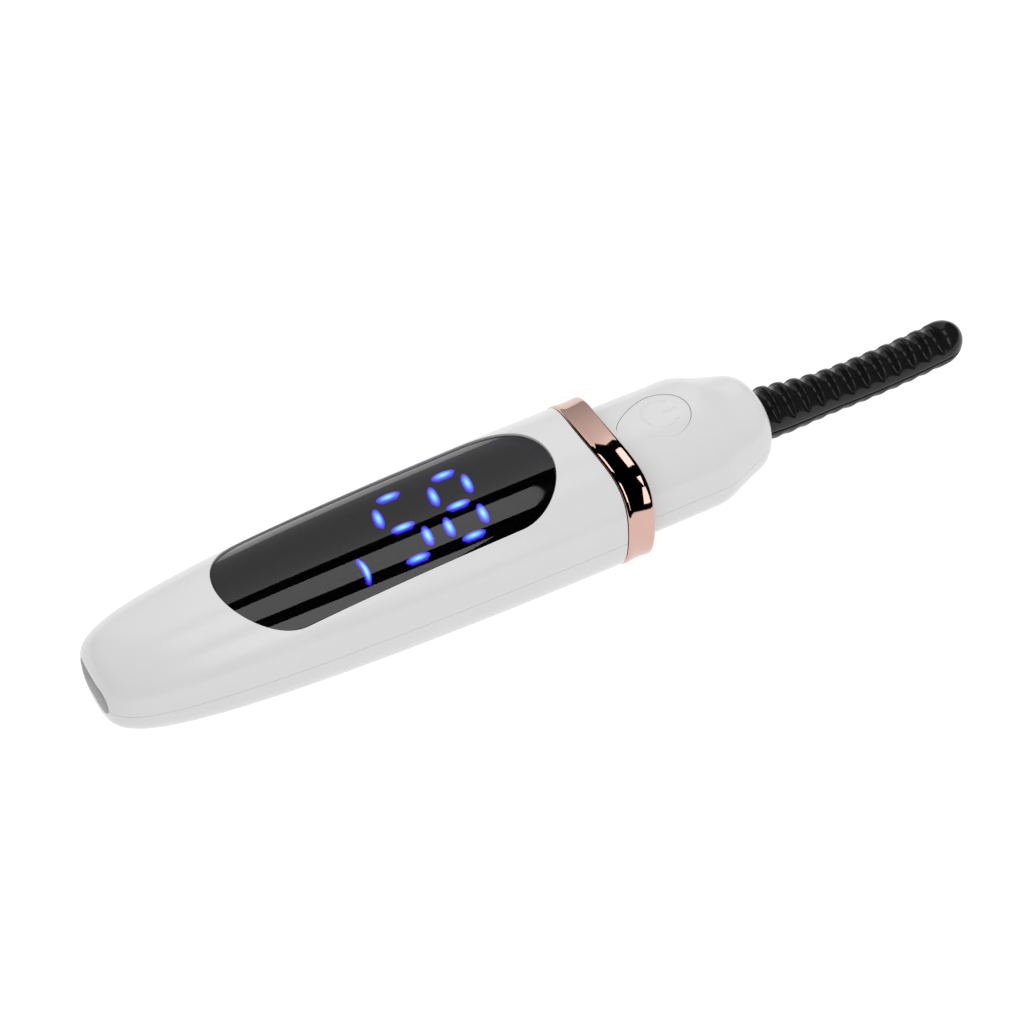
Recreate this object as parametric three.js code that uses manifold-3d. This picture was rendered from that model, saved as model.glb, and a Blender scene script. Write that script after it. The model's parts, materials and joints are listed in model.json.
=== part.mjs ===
// Heated eyelash curler: a pen-shaped handle with a smoked display window, a neck with a power button, and a
// ribbed heated comb. Millimetres. +X runs from the charging port to the comb's tip, +Y is the side that the
// digits' tops point to, and +Z is up. X = 0 is the middle of the length, Z = 0 the flat strip it lies on.
import * as THREE from 'three';
import { mergeVertices } from 'three/addons/utils/BufferGeometryUtils.js';
import Module from 'manifold-3d';

const wasm = await Module();
wasm.setup();

// ---------------------------------------------------------------- driving dimensions
const LENGTH = 136.5;
const TAIL_X = -LENGTH / 2;
const TIP_X = LENGTH / 2;
const AXIS_Z = 9.75; // the handle's axis above the strip it lies on
const FIT_GAP = 0.15; // between neighbouring pieces that don't move

// Handle: superellipse sections, wider than high, that swell from a blunt tail to the trim ring.
const SECTION_POWER = 2.2;
const SECTION_RATIO = 1.2; // width over height
const BODY_HALF_WIDTH = 12.2;
const SWELL_POWER = 1.8;
const SWELL_ROOT = 5;
const BODY_WALL = 2.0;
const PARTING_Z = AXIS_Z;

// Trim ring and neck.
const RING_TAIL_X = 4.5;
const RING_WIDTH = 4.15;
const RING_HALF_WIDTH = 12.35;
const RING_EDGE = 0.3; // rounding of the ring's edges
const NECK_HALF_WIDTH = 10.0;
const NECK_WALL = 1.6;
const NECK_END_X = 32.15;
const NECK_END_HALF_WIDTH = 4.5;
const NECK_END_RATIO = 1.03; // the neck turns almost round at its end

// Window, display and button.
const WINDOW = { tail: -50.1, front: -1.2, halfWidth: 8.8, inset: 0.3, thickness: 0.9, ledge: 1.0 };
const DISPLAY_Z = AXIS_Z + 6.26; // the lit faces of the segments
const DIGIT = { height: 11.5, width: 5.1, slantDeg: 7.9, segmentLength: 3.5, segmentWidth: 1.3 };
const DIGIT_X = { tens: -23.2, units: -14.9 };
const ICON_X = -30.9;
const DISPLAY_FRAME = { tail: -35.6, front: -9.2, halfWidth: 6.7 };
// The button is egg-shaped in plan: round towards the comb and drawn out towards the ring.
const BUTTON = { x: 16.6, ahead: 4.4, behind: 7.0, halfWidth: 4.2, tailPower: 1.4, flange: 0.8 };
const SYMBOL = { radius: 2.6, line: 0.5, gap: 0.68 };
const BUTTON_TRAVEL = 0.3;

// Comb: a wand of oval section, its upper half scooped into ribs. frontX is the first scoop's tip-side edge.
const COMB_ROOT_X = 23.2;
const COMB_MOUTH_X = 33.3;
const COMB_SLIM_X = 46.2;
const COMB_DOME = 3.6;
const COMB = { rootRadius: 3.9, width: 3.2, height: 3.3, wall: 1.3, seamDrop: 0.2 };
const GROOVE = { count: 12, frontX: 34.65, pitch: 2.636, width: 1.7, depth: 0.8, startDeg: 20, endDeg: 72 };
const FLANGE = { length: 1.0, height: 0.8 }; // at the wand's root, behind its collar

// Inside: the port sits level with the board's tail edge, and the cell lies under the board.
const BOARD_BOTTOM_Z = AXIS_Z + 0.8;
const BOARD_THICKNESS = 1.0;
const BOARD_TOP_Z = BOARD_BOTTOM_Z + BOARD_THICKNESS;
const PORT = { width: 8.94, height: 3.26, depth: 7.3, skin: 0.3, z: AXIS_Z + 0.3, mouthX: TAIL_X + 1.6 };
const CELL = { tail: -34.2, length: 35, width: 14, thickness: 6, z: AXIS_Z - 3.5 };
const SCREW_X = [-43.8, 7.2];
const SWITCH = { side: 6, height: 2.6, plungerRadius: 1.7, plungerTopZ: AXIS_Z + 5.3 };

const AROUND = 32; // points around a handle section
const COMB_AROUND = 24;
const TURN = 2 * Math.PI;
const FAR = 200;

// ---------------------------------------------------------------- solids
function toSolid(geometry) {
  const bare = geometry.clone();
  bare.deleteAttribute('normal');
  bare.deleteAttribute('uv');
  const merged = mergeVertices(bare, 1e-4);
  return new wasm.Manifold(new wasm.Mesh({
    numProp: 3,
    vertProperties: new Float32Array(merged.attributes.position.array),
    triVerts: new Uint32Array(merged.index.array),
  }));
}

function toGeometry(solid) {
  const mesh = solid.getMesh();
  const geometry = new THREE.BufferGeometry();
  geometry.setAttribute('position', new THREE.BufferAttribute(new Float32Array(mesh.vertProperties), 3));
  geometry.setIndex(new THREE.BufferAttribute(new Uint32Array(mesh.triVerts), 1));
  geometry.computeVertexNormals();
  return geometry;
}

function unite(...solids) {
  return solids.reduce((sum, next) => sum.add(next));
}

function box(x0, x1, y0, y1, z0, z1) {
  const geometry = new THREE.BoxGeometry(x1 - x0, y1 - y0, z1 - z0);
  geometry.translate((x0 + x1) / 2, (y0 + y1) / 2, (z0 + z1) / 2);
  return toSolid(geometry);
}

function post(x, y, radius, z0, z1, sides = 20) {
  const geometry = new THREE.CylinderGeometry(radius, radius, z1 - z0, sides);
  geometry.rotateX(Math.PI / 2);
  geometry.translate(x, y, (z0 + z1) / 2);
  return toSolid(geometry);
}

// A plan outline, pushed up from z0 to z1.
function prism(shape, z0, z1, curveSegments = 9) {
  const geometry = new THREE.ExtrudeGeometry(shape, { depth: z1 - z0, bevelEnabled: false, curveSegments });
  geometry.translate(0, 0, z0);
  return toSolid(geometry);
}

// An outline in Y and Z, pushed along X from x0 to x1.
function bar(shape, x0, x1, curveSegments = 8) {
  const geometry = new THREE.ExtrudeGeometry(shape, { depth: x1 - x0, bevelEnabled: false, curveSegments });
  const axes = new THREE.Matrix4().makeBasis(
    new THREE.Vector3(0, 1, 0), new THREE.Vector3(0, 0, 1), new THREE.Vector3(1, 0, 0));
  geometry.applyMatrix4(axes);
  geometry.translate(x0, 0, 0);
  return toSolid(geometry);
}

// A lens shape with straight sides and half-round ends, centred on (cx, cy).
function pill(cx, cy, length, width) {
  const radius = width / 2;
  const reach = length / 2 - radius;
  const shape = new THREE.Shape();
  shape.absarc(cx + reach, cy, radius, -Math.PI / 2, Math.PI / 2, false);
  shape.absarc(cx - reach, cy, radius, Math.PI / 2, (3 * Math.PI) / 2, false);
  shape.closePath();
  return shape;
}

// A closed skin over rings of points that follow each other along X.
function loft(rings) {
  const count = rings[0].length;
  const points = rings.flat();
  const index = [];
  for (let r = 0; r < rings.length - 1; r += 1) {
    for (let i = 0; i < count; i += 1) {
      const a = r * count + i;
      const b = r * count + ((i + 1) % count);
      index.push(a, a + count, b, b, a + count, b + count);
    }
  }
  const centres = [rings[0], rings[rings.length - 1]].map((ring) => (
    ring.reduce((sum, p) => sum.add(p), new THREE.Vector3()).divideScalar(count)));
  const last = (rings.length - 1) * count;
  for (let i = 0; i < count; i += 1) {
    const next = (i + 1) % count;
    index.push(points.length, i, next);
    index.push(points.length + 1, last + next, last + i);
  }
  const geometry = new THREE.BufferGeometry();
  geometry.setFromPoints([...points, ...centres]);
  geometry.setIndex(index);
  return toSolid(geometry);
}

// A round wire along a smooth route of points.
function wire(route, radius) {
  const curve = new THREE.CatmullRomCurve3(route.map((p) => new THREE.Vector3(...p)));
  const section = new THREE.Shape();
  section.absarc(0, 0, radius, 0, TURN, false);
  const geometry = new THREE.ExtrudeGeometry(section, { steps: 8, extrudePath: curve, curveSegments: 3 });
  return toSolid(geometry);
}

// ---------------------------------------------------------------- handle surfaces
const roundOff = (value) => Math.sign(value) * Math.abs(value) ** (2 / SECTION_POWER);

// How far the ring's edges wander along X, by the angle from the top of the handle.
const waveAt = (angle) => -0.3 * Math.cos(4 * angle) - 0.35 * Math.cos(2 * angle);

function section(x, halfWidth, halfHeight, { centreZ = AXIS_Z, lowestZ = 0, wave = 0 } = {}) {
  return Array.from({ length: AROUND }, (_, i) => {
    const angle = (i / AROUND) * TURN;
    const z = centreZ + halfHeight * roundOff(Math.cos(angle));
    return new THREE.Vector3(
      x + wave * waveAt(angle),
      halfWidth * roundOff(Math.sin(angle)),
      Math.max(z, lowestZ));
  });
}

// The handle's body, or the same body shrunk by an inset all round.
function bodySolid(inset) {
  const startX = TAIL_X + inset;
  const run = RING_TAIL_X - FIT_GAP - inset - startX;
  const halfWidth = BODY_HALF_WIDTH - inset;
  const halfHeight = BODY_HALF_WIDTH / SECTION_RATIO - inset;
  const turns = [1, 5, 10, 16, 23, 31, 40, 50, 60, 70, 80, 90].map(THREE.MathUtils.degToRad);
  const rings = turns.map((angle, k) => {
    const along = 1 - Math.cos(angle) ** (2 / SWELL_POWER);
    const swell = Math.sin(angle) ** (2 / SWELL_ROOT);
    const wave = k === turns.length - 1 ? 1 : 0;
    return section(startX + run * along, halfWidth * swell, halfHeight * swell, { lowestZ: inset, wave });
  });
  return loft(rings);
}

// Half-widths along the neck: a straight stretch, a cone, and a round end about the comb.
function neckOutline() {
  const path = new THREE.Path();
  const coneX = 22.8;
  const coneEndX = 29.6;
  const coneEndHalfWidth = 7.32;
  path.moveTo(RING_TAIL_X - 1.2, NECK_HALF_WIDTH);
  path.lineTo(coneX - 1.4, NECK_HALF_WIDTH);
  path.quadraticCurveTo(coneX, NECK_HALF_WIDTH, coneX + 1.3, NECK_HALF_WIDTH - 0.52);
  path.lineTo(coneEndX, coneEndHalfWidth);
  path.quadraticCurveTo(coneEndX + 2.5, coneEndHalfWidth - 1.1, NECK_END_X, NECK_END_HALF_WIDTH);
  return path.getPoints(3);
}

function neckSolid(inset) {
  const rings = neckOutline().map(({ x, y }) => {
    const turned = THREE.MathUtils.smoothstep(x, NECK_END_X - 6, NECK_END_X);
    const ratio = THREE.MathUtils.lerp(SECTION_RATIO, NECK_END_RATIO, turned);
    return section(x, y - inset, y / ratio - inset);
  });
  return loft(rings);
}

// The room inside both shells, open through the neck's mouth.
function handleCavity() {
  const radius = COMB.rootRadius + 0.2;
  const mouth = loft([-6, 2].map((step) => (
    combSection(COMB_MOUTH_X + step, radius, radius, combCentreZ(COMB_MOUTH_X)))));
  return unite(bodySolid(BODY_WALL), neckSolid(NECK_WALL), neckSolidAhead(NECK_WALL), mouth);
}

// The neck's straight section carried back into the body, which joins the two rooms.
function neckSolidAhead(inset) {
  const halfWidth = NECK_HALF_WIDTH - inset;
  const halfHeight = NECK_HALF_WIDTH / SECTION_RATIO - inset;
  return loft([
    section(RING_TAIL_X - BODY_WALL - 1, halfWidth, halfHeight),
    section(RING_TAIL_X, halfWidth, halfHeight),
  ]);
}

const windowPlan = (grow) => pill(
  (WINDOW.tail + WINDOW.front) / 2, 0,
  WINDOW.front - WINDOW.tail + 2 * grow, 2 * (WINDOW.halfWidth + grow));

const windowPrism = (grow) => prism(windowPlan(grow), AXIS_Z, AXIS_Z + 15);

function buttonPlan(grow) {
  const corners = 36;
  const points = Array.from({ length: corners }, (_, i) => {
    const angle = (i / corners) * TURN;
    const ahead = Math.cos(angle) > 0;
    const reach = ahead ? BUTTON.ahead : -BUTTON.behind;
    const power = ahead ? 1 : 2 / BUTTON.tailPower;
    return new THREE.Vector2(
      BUTTON.x + (reach + Math.sign(reach) * grow) * Math.abs(Math.cos(angle)) ** power,
      Math.sign(Math.sin(angle)) * (BUTTON.halfWidth + grow) * Math.abs(Math.sin(angle)) ** power);
  });
  return new THREE.Shape(points);
}

const buttonPrism = (grow) => prism(buttonPlan(grow), AXIS_Z, AXIS_Z + 15);

// ---------------------------------------------------------------- comb surfaces
function combCentreZ(x) {
  const fromLowest = Math.max(x, COMB_MOUTH_X) - 51.4;
  return AXIS_Z - 1.25 + 0.0037 * fromLowest ** 2;
}

function combSection(x, halfWidth, halfHeight, centreZ) {
  return Array.from({ length: COMB_AROUND }, (_, i) => {
    const angle = (i / COMB_AROUND) * TURN;
    return new THREE.Vector3(x, halfWidth * Math.sin(angle), centreZ + halfHeight * Math.cos(angle));
  });
}

// Half-sizes of the wand at x: it slims from its root, runs straight and closes in a dome at the tip.
function combHalfSize(x) {
  const slim = THREE.MathUtils.smoothstep(x, COMB_MOUTH_X, COMB_SLIM_X);
  const intoDome = Math.max(0, x - (TIP_X - COMB_DOME)) / COMB_DOME;
  const close = Math.sqrt(Math.max(0, 1 - intoDome ** 2));
  const flange = x < COMB_ROOT_X + FLANGE.length ? FLANGE.height : 0;
  return {
    width: close * THREE.MathUtils.lerp(COMB.rootRadius, COMB.width, slim) + flange,
    height: close * THREE.MathUtils.lerp(COMB.rootRadius, COMB.height, slim) + flange,
  };
}

// How wide a scoop still is at an angle from the top, as a share of its full width.
function scoopShare(fromTop) {
  const start = THREE.MathUtils.degToRad(GROOVE.startDeg);
  const end = THREE.MathUtils.degToRad(GROOVE.endDeg);
  return Math.sqrt(1 - THREE.MathUtils.clamp((fromTop - start) / (end - start), 0, 1) ** 2);
}

// The wand's outline at x. Across a scoop, x is its tip-side edge and across goes from 0 at its tail side to 1
// at that edge, which keeps its place while the tail side closes up on it down the wand's flanks.
function combRing(x, across = 1) {
  return Array.from({ length: COMB_AROUND }, (_, i) => {
    const angle = (i / COMB_AROUND) * TURN;
    const share = scoopShare(Math.min(angle, TURN - angle));
    const pointX = x - (1 - across) * GROOVE.width * Math.max(share, 0.1);
    const { width, height } = combHalfSize(pointX);
    const sink = 2 * GROOVE.depth * share * Math.sqrt(across * (1 - across));
    const scale = 1 - sink / height;
    return new THREE.Vector3(
      pointX, scale * width * Math.sin(angle), combCentreZ(pointX) + scale * height * Math.cos(angle));
  });
}

// The root, with the flange that keeps the wand from being pulled out of its collar.
const rootStations = () => [0, FLANGE.length - 0.05, FLANGE.length].map((step) => COMB_ROOT_X + step);

function domeStations() {
  const steps = 5;
  return Array.from({ length: steps }, (_, k) => (
    TIP_X - COMB_DOME + COMB_DOME * Math.sin(((k + 0.95) / steps) * (Math.PI / 2))));
}

function ribbedWand() {
  const fronts = Array.from({ length: GROOVE.count }, (_, k) => GROOVE.frontX + k * GROOVE.pitch);
  const scoops = fronts.flatMap((front) => [0, 0.08, 0.5, 0.92, 1].map((across) => combRing(front, across)));
  const plain = (stations) => stations.map((x) => combRing(x));
  return loft([...plain(rootStations()), ...scoops, ...plain(domeStations())]);
}

function smoothWand() {
  const steps = 10;
  const run = TIP_X - COMB_DOME - COMB_MOUTH_X;
  const middle = Array.from({ length: steps }, (_, k) => COMB_MOUTH_X + (k / steps) * run);
  return loft([...rootStations(), ...middle, ...domeStations()].map((x) => combRing(x)));
}

// A strip that follows the wand's centre line, from x0 to x1, with an oval section.
function combCore(x0, x1, halfWidth, halfHeight, lift = 0) {
  const steps = 5;
  const rings = Array.from({ length: steps + 1 }, (_, k) => {
    const x = x0 + (k / steps) * (x1 - x0);
    return combSection(x, halfWidth, halfHeight, combCentreZ(x) + lift);
  });
  return loft(rings);
}

// Everything above (or, turned over, below) the seam, which runs just below the centre line.
function combSeamBlock(gap, side) {
  const steps = 12;
  const shape = new THREE.Shape();
  shape.moveTo(COMB_ROOT_X - 5, AXIS_Z + side * 30);
  for (let k = 0; k <= steps; k += 1) {
    const x = THREE.MathUtils.lerp(COMB_MOUTH_X - 3, TIP_X + 1, k / steps);
    const z = combCentreZ(x) - COMB.seamDrop + side * gap;
    if (k === 0) {
      shape.lineTo(COMB_ROOT_X - 5, z);
    }
    shape.lineTo(x, z);
  }
  shape.lineTo(TIP_X + 1, AXIS_Z + side * 30);
  const geometry = new THREE.ExtrudeGeometry(shape, { depth: 40, bevelEnabled: false });
  geometry.rotateX(Math.PI / 2);
  geometry.translate(0, 20, 0);
  return toSolid(geometry);
}

const combCavity = () => combCore(
  COMB_ROOT_X - 1, TIP_X - COMB_DOME - 0.6, COMB.width - COMB.wall, COMB.height - COMB.wall);

// ---------------------------------------------------------------- casings
function portPlan(grow) {
  return pill(0, PORT.z, PORT.width + 2 * grow, PORT.height + 2 * grow);
}

function handleShell() {
  const outside = bodySolid(0).add(neckSolid(0));
  const portHole = bar(portPlan(0.4), TAIL_X - 1, TAIL_X + 4);
  return outside.subtract(handleCavity()).subtract(portHole);
}

function upperShell() {
  const upper = box(-FAR, FAR, -FAR, FAR, PARTING_Z + FIT_GAP / 2, FAR);
  const pocket = windowPrism(FIT_GAP).subtract(bodySolid(WINDOW.inset + WINDOW.thickness + 0.3));
  return handleShell().intersect(upper)
    .subtract(pocket)
    .subtract(windowPrism(-WINDOW.ledge))
    .subtract(buttonPrism(0));
}

function lowerShell() {
  const lower = box(-FAR, FAR, -FAR, FAR, -FAR, PARTING_Z - FIT_GAP / 2);
  const outside = bodySolid(0.5).add(neckSolid(0.5));
  const bosses = SCREW_X.map((x) => (
    post(x, 0, 1.7, 0, BOARD_BOTTOM_Z - FIT_GAP).intersect(outside)
      .subtract(post(x, 0, 0.75, AXIS_Z - 5, FAR))));
  return unite(handleShell().intersect(lower), ...bosses);
}

function displayWindow() {
  return bodySolid(WINDOW.inset)
    .subtract(bodySolid(WINDOW.inset + WINDOW.thickness))
    .intersect(windowPrism(-FIT_GAP / 2));
}

function windowGasket() {
  const top = WINDOW.inset + WINDOW.thickness + 0.05;
  return bodySolid(top).subtract(bodySolid(top + 0.2))
    .intersect(windowPrism(-0.15))
    .subtract(windowPrism(-WINDOW.ledge + 0.1));
}

function trimRing() {
  const edge = RING_HALF_WIDTH - RING_EDGE;
  const stations = [
    [RING_TAIL_X, edge],
    [RING_TAIL_X + RING_EDGE, RING_HALF_WIDTH],
    [RING_TAIL_X + RING_WIDTH / 2, RING_HALF_WIDTH + 0.05],
    [RING_TAIL_X + RING_WIDTH - RING_EDGE, RING_HALF_WIDTH],
    [RING_TAIL_X + RING_WIDTH, edge],
  ];
  const outside = loft(stations.map(([x, half]) => section(x, half, half / SECTION_RATIO, { wave: 1 })));
  const bore = loft([RING_TAIL_X - 2, RING_TAIL_X + RING_WIDTH + 2].map((x) => (
    section(x, NECK_HALF_WIDTH + FIT_GAP, NECK_HALF_WIDTH / SECTION_RATIO + FIT_GAP))));
  return outside.subtract(bore);
}

// ---------------------------------------------------------------- button and switch
// A circle broken towards +X, with a bar through the break.
function powerSymbol() {
  const { radius, line, gap } = SYMBOL;
  const circle = new THREE.Shape();
  circle.absarc(BUTTON.x, 0, radius + line / 2, gap, TURN - gap, false);
  circle.absarc(BUTTON.x, 0, radius - line / 2, TURN - gap, gap, true);
  circle.closePath();
  const stroke = pill(BUTTON.x + radius * 0.5, 0, radius * 1.1, line);
  const engraving = 0.3;
  return prism(circle, AXIS_Z, AXIS_Z + 15, 16).add(prism(stroke, AXIS_Z, AXIS_Z + 15, 6))
    .subtract(neckSolid(engraving));
}

function powerButton() {
  const flangeTop = NECK_WALL + 0.25;
  const cap = neckSolid(0).intersect(buttonPrism(-0.2)).subtract(neckSolid(flangeTop + BUTTON.flange));
  const flange = neckSolid(flangeTop).subtract(neckSolid(flangeTop + BUTTON.flange))
    .intersect(buttonPrism(BUTTON.flange));
  const stem = post(BUTTON.x, 0, SWITCH.plungerRadius, SWITCH.plungerTopZ + 0.2, AXIS_Z + 6.5);
  return unite(cap, flange, stem).subtract(powerSymbol());
}

function switchHousing() {
  const half = SWITCH.side / 2;
  const base = BOARD_TOP_Z + 0.05;
  return box(BUTTON.x - half, BUTTON.x + half, -half, half, base, base + SWITCH.height)
    .subtract(post(BUTTON.x, 0, SWITCH.plungerRadius + 0.2, base + 0.5, FAR));
}

function switchCover() {
  const half = SWITCH.side / 2;
  const base = BOARD_TOP_Z + 0.1 + SWITCH.height;
  return box(BUTTON.x - half, BUTTON.x + half, -half, half, base, base + 0.2)
    .subtract(post(BUTTON.x, 0, SWITCH.plungerRadius + 0.2, base - 1, FAR));
}

function switchPlunger() {
  const bottom = BOARD_TOP_Z + 0.05 + 0.5 + BUTTON_TRAVEL + 0.2;
  return post(BUTTON.x, 0, SWITCH.plungerRadius, bottom, SWITCH.plungerTopZ);
}

// ---------------------------------------------------------------- display
// Segment centres relative to a digit's centre: three across (turned = 0) and four upright (turned = 1).
function digitSegments(cx) {
  const across = [-1, 0, 1].map((row) => ({ x: 0, y: (row * DIGIT.height) / 2, turned: 0 }));
  const upright = [-1, 1].flatMap((side) => [-1, 1].map((row) => (
    { x: (side * DIGIT.width) / 2, y: (row * DIGIT.height) / 4, turned: 1 })));
  return [...across, ...upright].map((segment) => ({ ...segment, cx }));
}

const slanted = (x, y) => new THREE.Vector2(x + y * Math.tan((DIGIT.slantDeg * Math.PI) / 180), y);

// A six-cornered lozenge with pointed ends, leaning with the digit.
function lozenge({ x, y, turned, cx }, grow = 0) {
  const half = DIGIT.segmentWidth / 2 + grow;
  const reach = DIGIT.segmentLength / 2 + grow;
  const corners = [[reach, 0], [reach - half, half], [half - reach, half],
    [-reach, 0], [half - reach, -half], [reach - half, -half]];
  const points = corners.map(([u, v]) => {
    const [dx, dy] = turned ? [-v, u] : [u, v];
    const point = slanted(x + dx, y + dy);
    return point.set(point.x + cx, point.y);
  });
  return new THREE.Shape(points);
}

// The icon: one bowed stroke.
function iconStroke(grow = 0) {
  const radius = 6;
  const half = 0.45 + grow;
  const start = -0.5 - grow / radius;
  const end = 0.28 + grow / radius;
  const centre = { x: ICON_X - radius, y: -3.7 };
  const shape = new THREE.Shape();
  shape.absarc(centre.x, centre.y, radius + half, start, end, false);
  shape.absarc(centre.x, centre.y, radius - half, end, start, true);
  shape.closePath();
  return shape;
}

const allSegments = [...digitSegments(DIGIT_X.tens), ...digitSegments(DIGIT_X.units)];

// Every opening that light comes through, as prisms from z0 to z1.
function lightPaths(grow, z0, z1) {
  const digits = allSegments.map((segment) => prism(lozenge(segment, grow), z0, z1));
  return unite(...digits, prism(iconStroke(grow), z0, z1, 6));
}

const DIFFUSER_Z = DISPLAY_Z - 0.7;

function displayMask() {
  const { tail, front, halfWidth } = DISPLAY_FRAME;
  return box(tail, front, -halfWidth, halfWidth, DIFFUSER_Z + 0.35, DISPLAY_Z - 0.15)
    .subtract(lightPaths(0.1, AXIS_Z, FAR));
}

// One diffuser plate, with its segments standing up through the mask.
function lightGuide(x0, x1, shapes) {
  const half = DISPLAY_FRAME.halfWidth - 0.1;
  const plate = box(x0, x1, -half, half, DIFFUSER_Z, DIFFUSER_Z + 0.3);
  const raised = shapes.map((shape) => prism(shape, DIFFUSER_Z + 0.1, DISPLAY_Z, 6));
  return unite(plate, ...raised);
}

const digitGuide = (cx) => lightGuide(cx - 4.05, cx + 4.05, digitSegments(cx).map((s) => lozenge(s)));

function displayHousing() {
  const { tail, front, halfWidth } = DISPLAY_FRAME;
  return box(tail, front, -halfWidth, halfWidth, BOARD_TOP_Z + 1.4, DIFFUSER_Z - 0.1)
    .subtract(lightPaths(0.1, AXIS_Z, FAR));
}

function ledBoard() {
  const { tail, front, halfWidth } = DISPLAY_FRAME;
  const top = BOARD_TOP_Z + 0.8;
  const centres = allSegments.map(({ x, y, cx }) => slanted(x, y).add(new THREE.Vector2(cx, 0)));
  centres.push(new THREE.Vector2(ICON_X, -4.3));
  const chips = centres.map(({ x, y }) => box(x - 0.5, x + 0.5, y - 0.4, y + 0.4, top - 0.1, top + 0.35));
  return unite(box(tail, front, -halfWidth, halfWidth, BOARD_TOP_Z + 0.2, top), ...chips);
}

// ---------------------------------------------------------------- electronics
function mainBoard() {
  const tail = PORT.mouthX + PORT.depth + 0.25;
  const outline = new THREE.Shape([
    [tail, -4.2], [-56, -4.2], [-53.5, -6.8], [19.7, -6.8],
    [19.7, 6.8], [-53.5, 6.8], [-56, 4.2], [tail, 4.2],
  ].map(([x, y]) => new THREE.Vector2(x, y)));
  const holes = SCREW_X.map((x) => post(x, 0, 0.85, AXIS_Z - 5, FAR));
  return prism(outline, BOARD_BOTTOM_Z, BOARD_TOP_Z).subtract(unite(...holes));
}

function chip(x, y, length, width, height) {
  const base = BOARD_TOP_Z + 0.05;
  return box(x - length / 2, x + length / 2, y - width / 2, y + width / 2, base, base + height);
}

function boostCoil() {
  const base = BOARD_TOP_Z + 0.05;
  const flange = (z) => post(-39, 3, 2.2, z, z + 0.5, 24);
  return unite(flange(base), post(-39, 3, 1.7, base, base + 2.4, 24), flange(base + 1.9));
}

function boardScrew(x) {
  const head = BOARD_TOP_Z + 0.05;
  const slot = box(x - 2, x + 2, -0.2, 0.2, head + 0.6, head + 2);
  return unite(post(x, 0, 1.5, head, head + 1.0), post(x, 0, 0.6, AXIS_Z - 3.5, head + 0.1)).subtract(slot);
}

function portShell() {
  return bar(portPlan(0), PORT.mouthX, PORT.mouthX + PORT.depth)
    .subtract(bar(portPlan(-PORT.skin), PORT.mouthX - 1, PORT.mouthX + PORT.depth + 1));
}

function portTongue() {
  const back = PORT.mouthX + PORT.depth;
  const block = bar(portPlan(-PORT.skin - 0.08), back - 1.6, back - 0.1);
  return block.add(box(PORT.mouthX + 0.8, back - 1.5, -3.3, 3.3, PORT.z - 0.35, PORT.z + 0.35));
}

function batteryCell() {
  return bar(pill(0, CELL.z, CELL.width, CELL.thickness), CELL.tail, CELL.tail + CELL.length);
}

function guardBoard() {
  const x = CELL.tail + CELL.length + 0.3;
  return box(x, x + 0.8, -6, 6, CELL.z - 2, CELL.z + 2);
}

function batteryFoam() {
  const top = CELL.z - CELL.thickness / 2 - 0.15;
  return box(CELL.tail + 3, CELL.tail + CELL.length - 3, -3, 3, top - 0.5, top);
}

function batteryLead(y) {
  const x = CELL.tail + CELL.length + 1.45;
  return wire([[x, y, CELL.z], [x + 1.4, y, CELL.z + 0.6], [x + 2.4, y, CELL.z + 2.4],
    [x + 2.6, y, BOARD_BOTTOM_Z - 0.3]], 0.4);
}

// ---------------------------------------------------------------- heated comb
function combCover() {
  return ribbedWand().intersect(combSeamBlock(0.05, 1)).subtract(combCavity());
}

function combBase() {
  return smoothWand().intersect(combSeamBlock(0.05, -1)).subtract(combCavity());
}

// A bush between the comb's root and the neck's inside, which keeps the heat out of the shells.
function wandCollar() {
  const x0 = COMB_ROOT_X + FLANGE.length + 0.2;
  const x1 = x0 + 4.5;
  const around = neckSolid(NECK_WALL + 0.3).intersect(box(x0, x1, -FAR, FAR, -FAR, FAR));
  const bore = loft([x0 - 3, x1 + 3].map((x) => (
    combSection(x, COMB.rootRadius + 0.2, COMB.rootRadius + 0.2, combCentreZ(x)))));
  return around.subtract(bore);
}

const heaterBar = () => combCore(36, 61.5, 1.6, 0.7, 0.65);

function heaterFilm() {
  return combCore(37, 60.5, 1.6, 0.6, -0.35).intersect(combCore(37, 60.5, 3, 0.25, -0.35));
}

function thermistor() {
  const x = 47;
  const bead = new THREE.SphereGeometry(0.45, 12, 8);
  bead.translate(x, 0, combCentreZ(x) - 1.05);
  return toSolid(bead);
}

function heaterLead(side) {
  const z = combCentreZ(36.5) - 0.3;
  return wire([[36.6, side * 1.1, z], [30, side * 1.1, AXIS_Z], [23.5, side * 1.1, AXIS_Z - 0.3],
    [20.5, side * 2.2, AXIS_Z - 0.1], [18, side * 3, BOARD_BOTTOM_Z - 0.45]], 0.35);
}

function thermistorLead(side) {
  const dip = (x) => combCentreZ(x) - 1.0;
  return wire([
    [46.3, side * 0.25, dip(46.3)], [40, side * 0.3, dip(40)], [34, side * 0.35, dip(34)],
    [26, side * 0.45, AXIS_Z - 1], [21, side * 0.7, AXIS_Z - 0.6], [18, side * 0.9, BOARD_BOTTOM_Z - 0.4],
  ], 0.16);
}

// ---------------------------------------------------------------- finishes
function finish(color, roughness, metalness = 0) {
  return new THREE.MeshStandardMaterial({ color, roughness, metalness });
}

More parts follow.
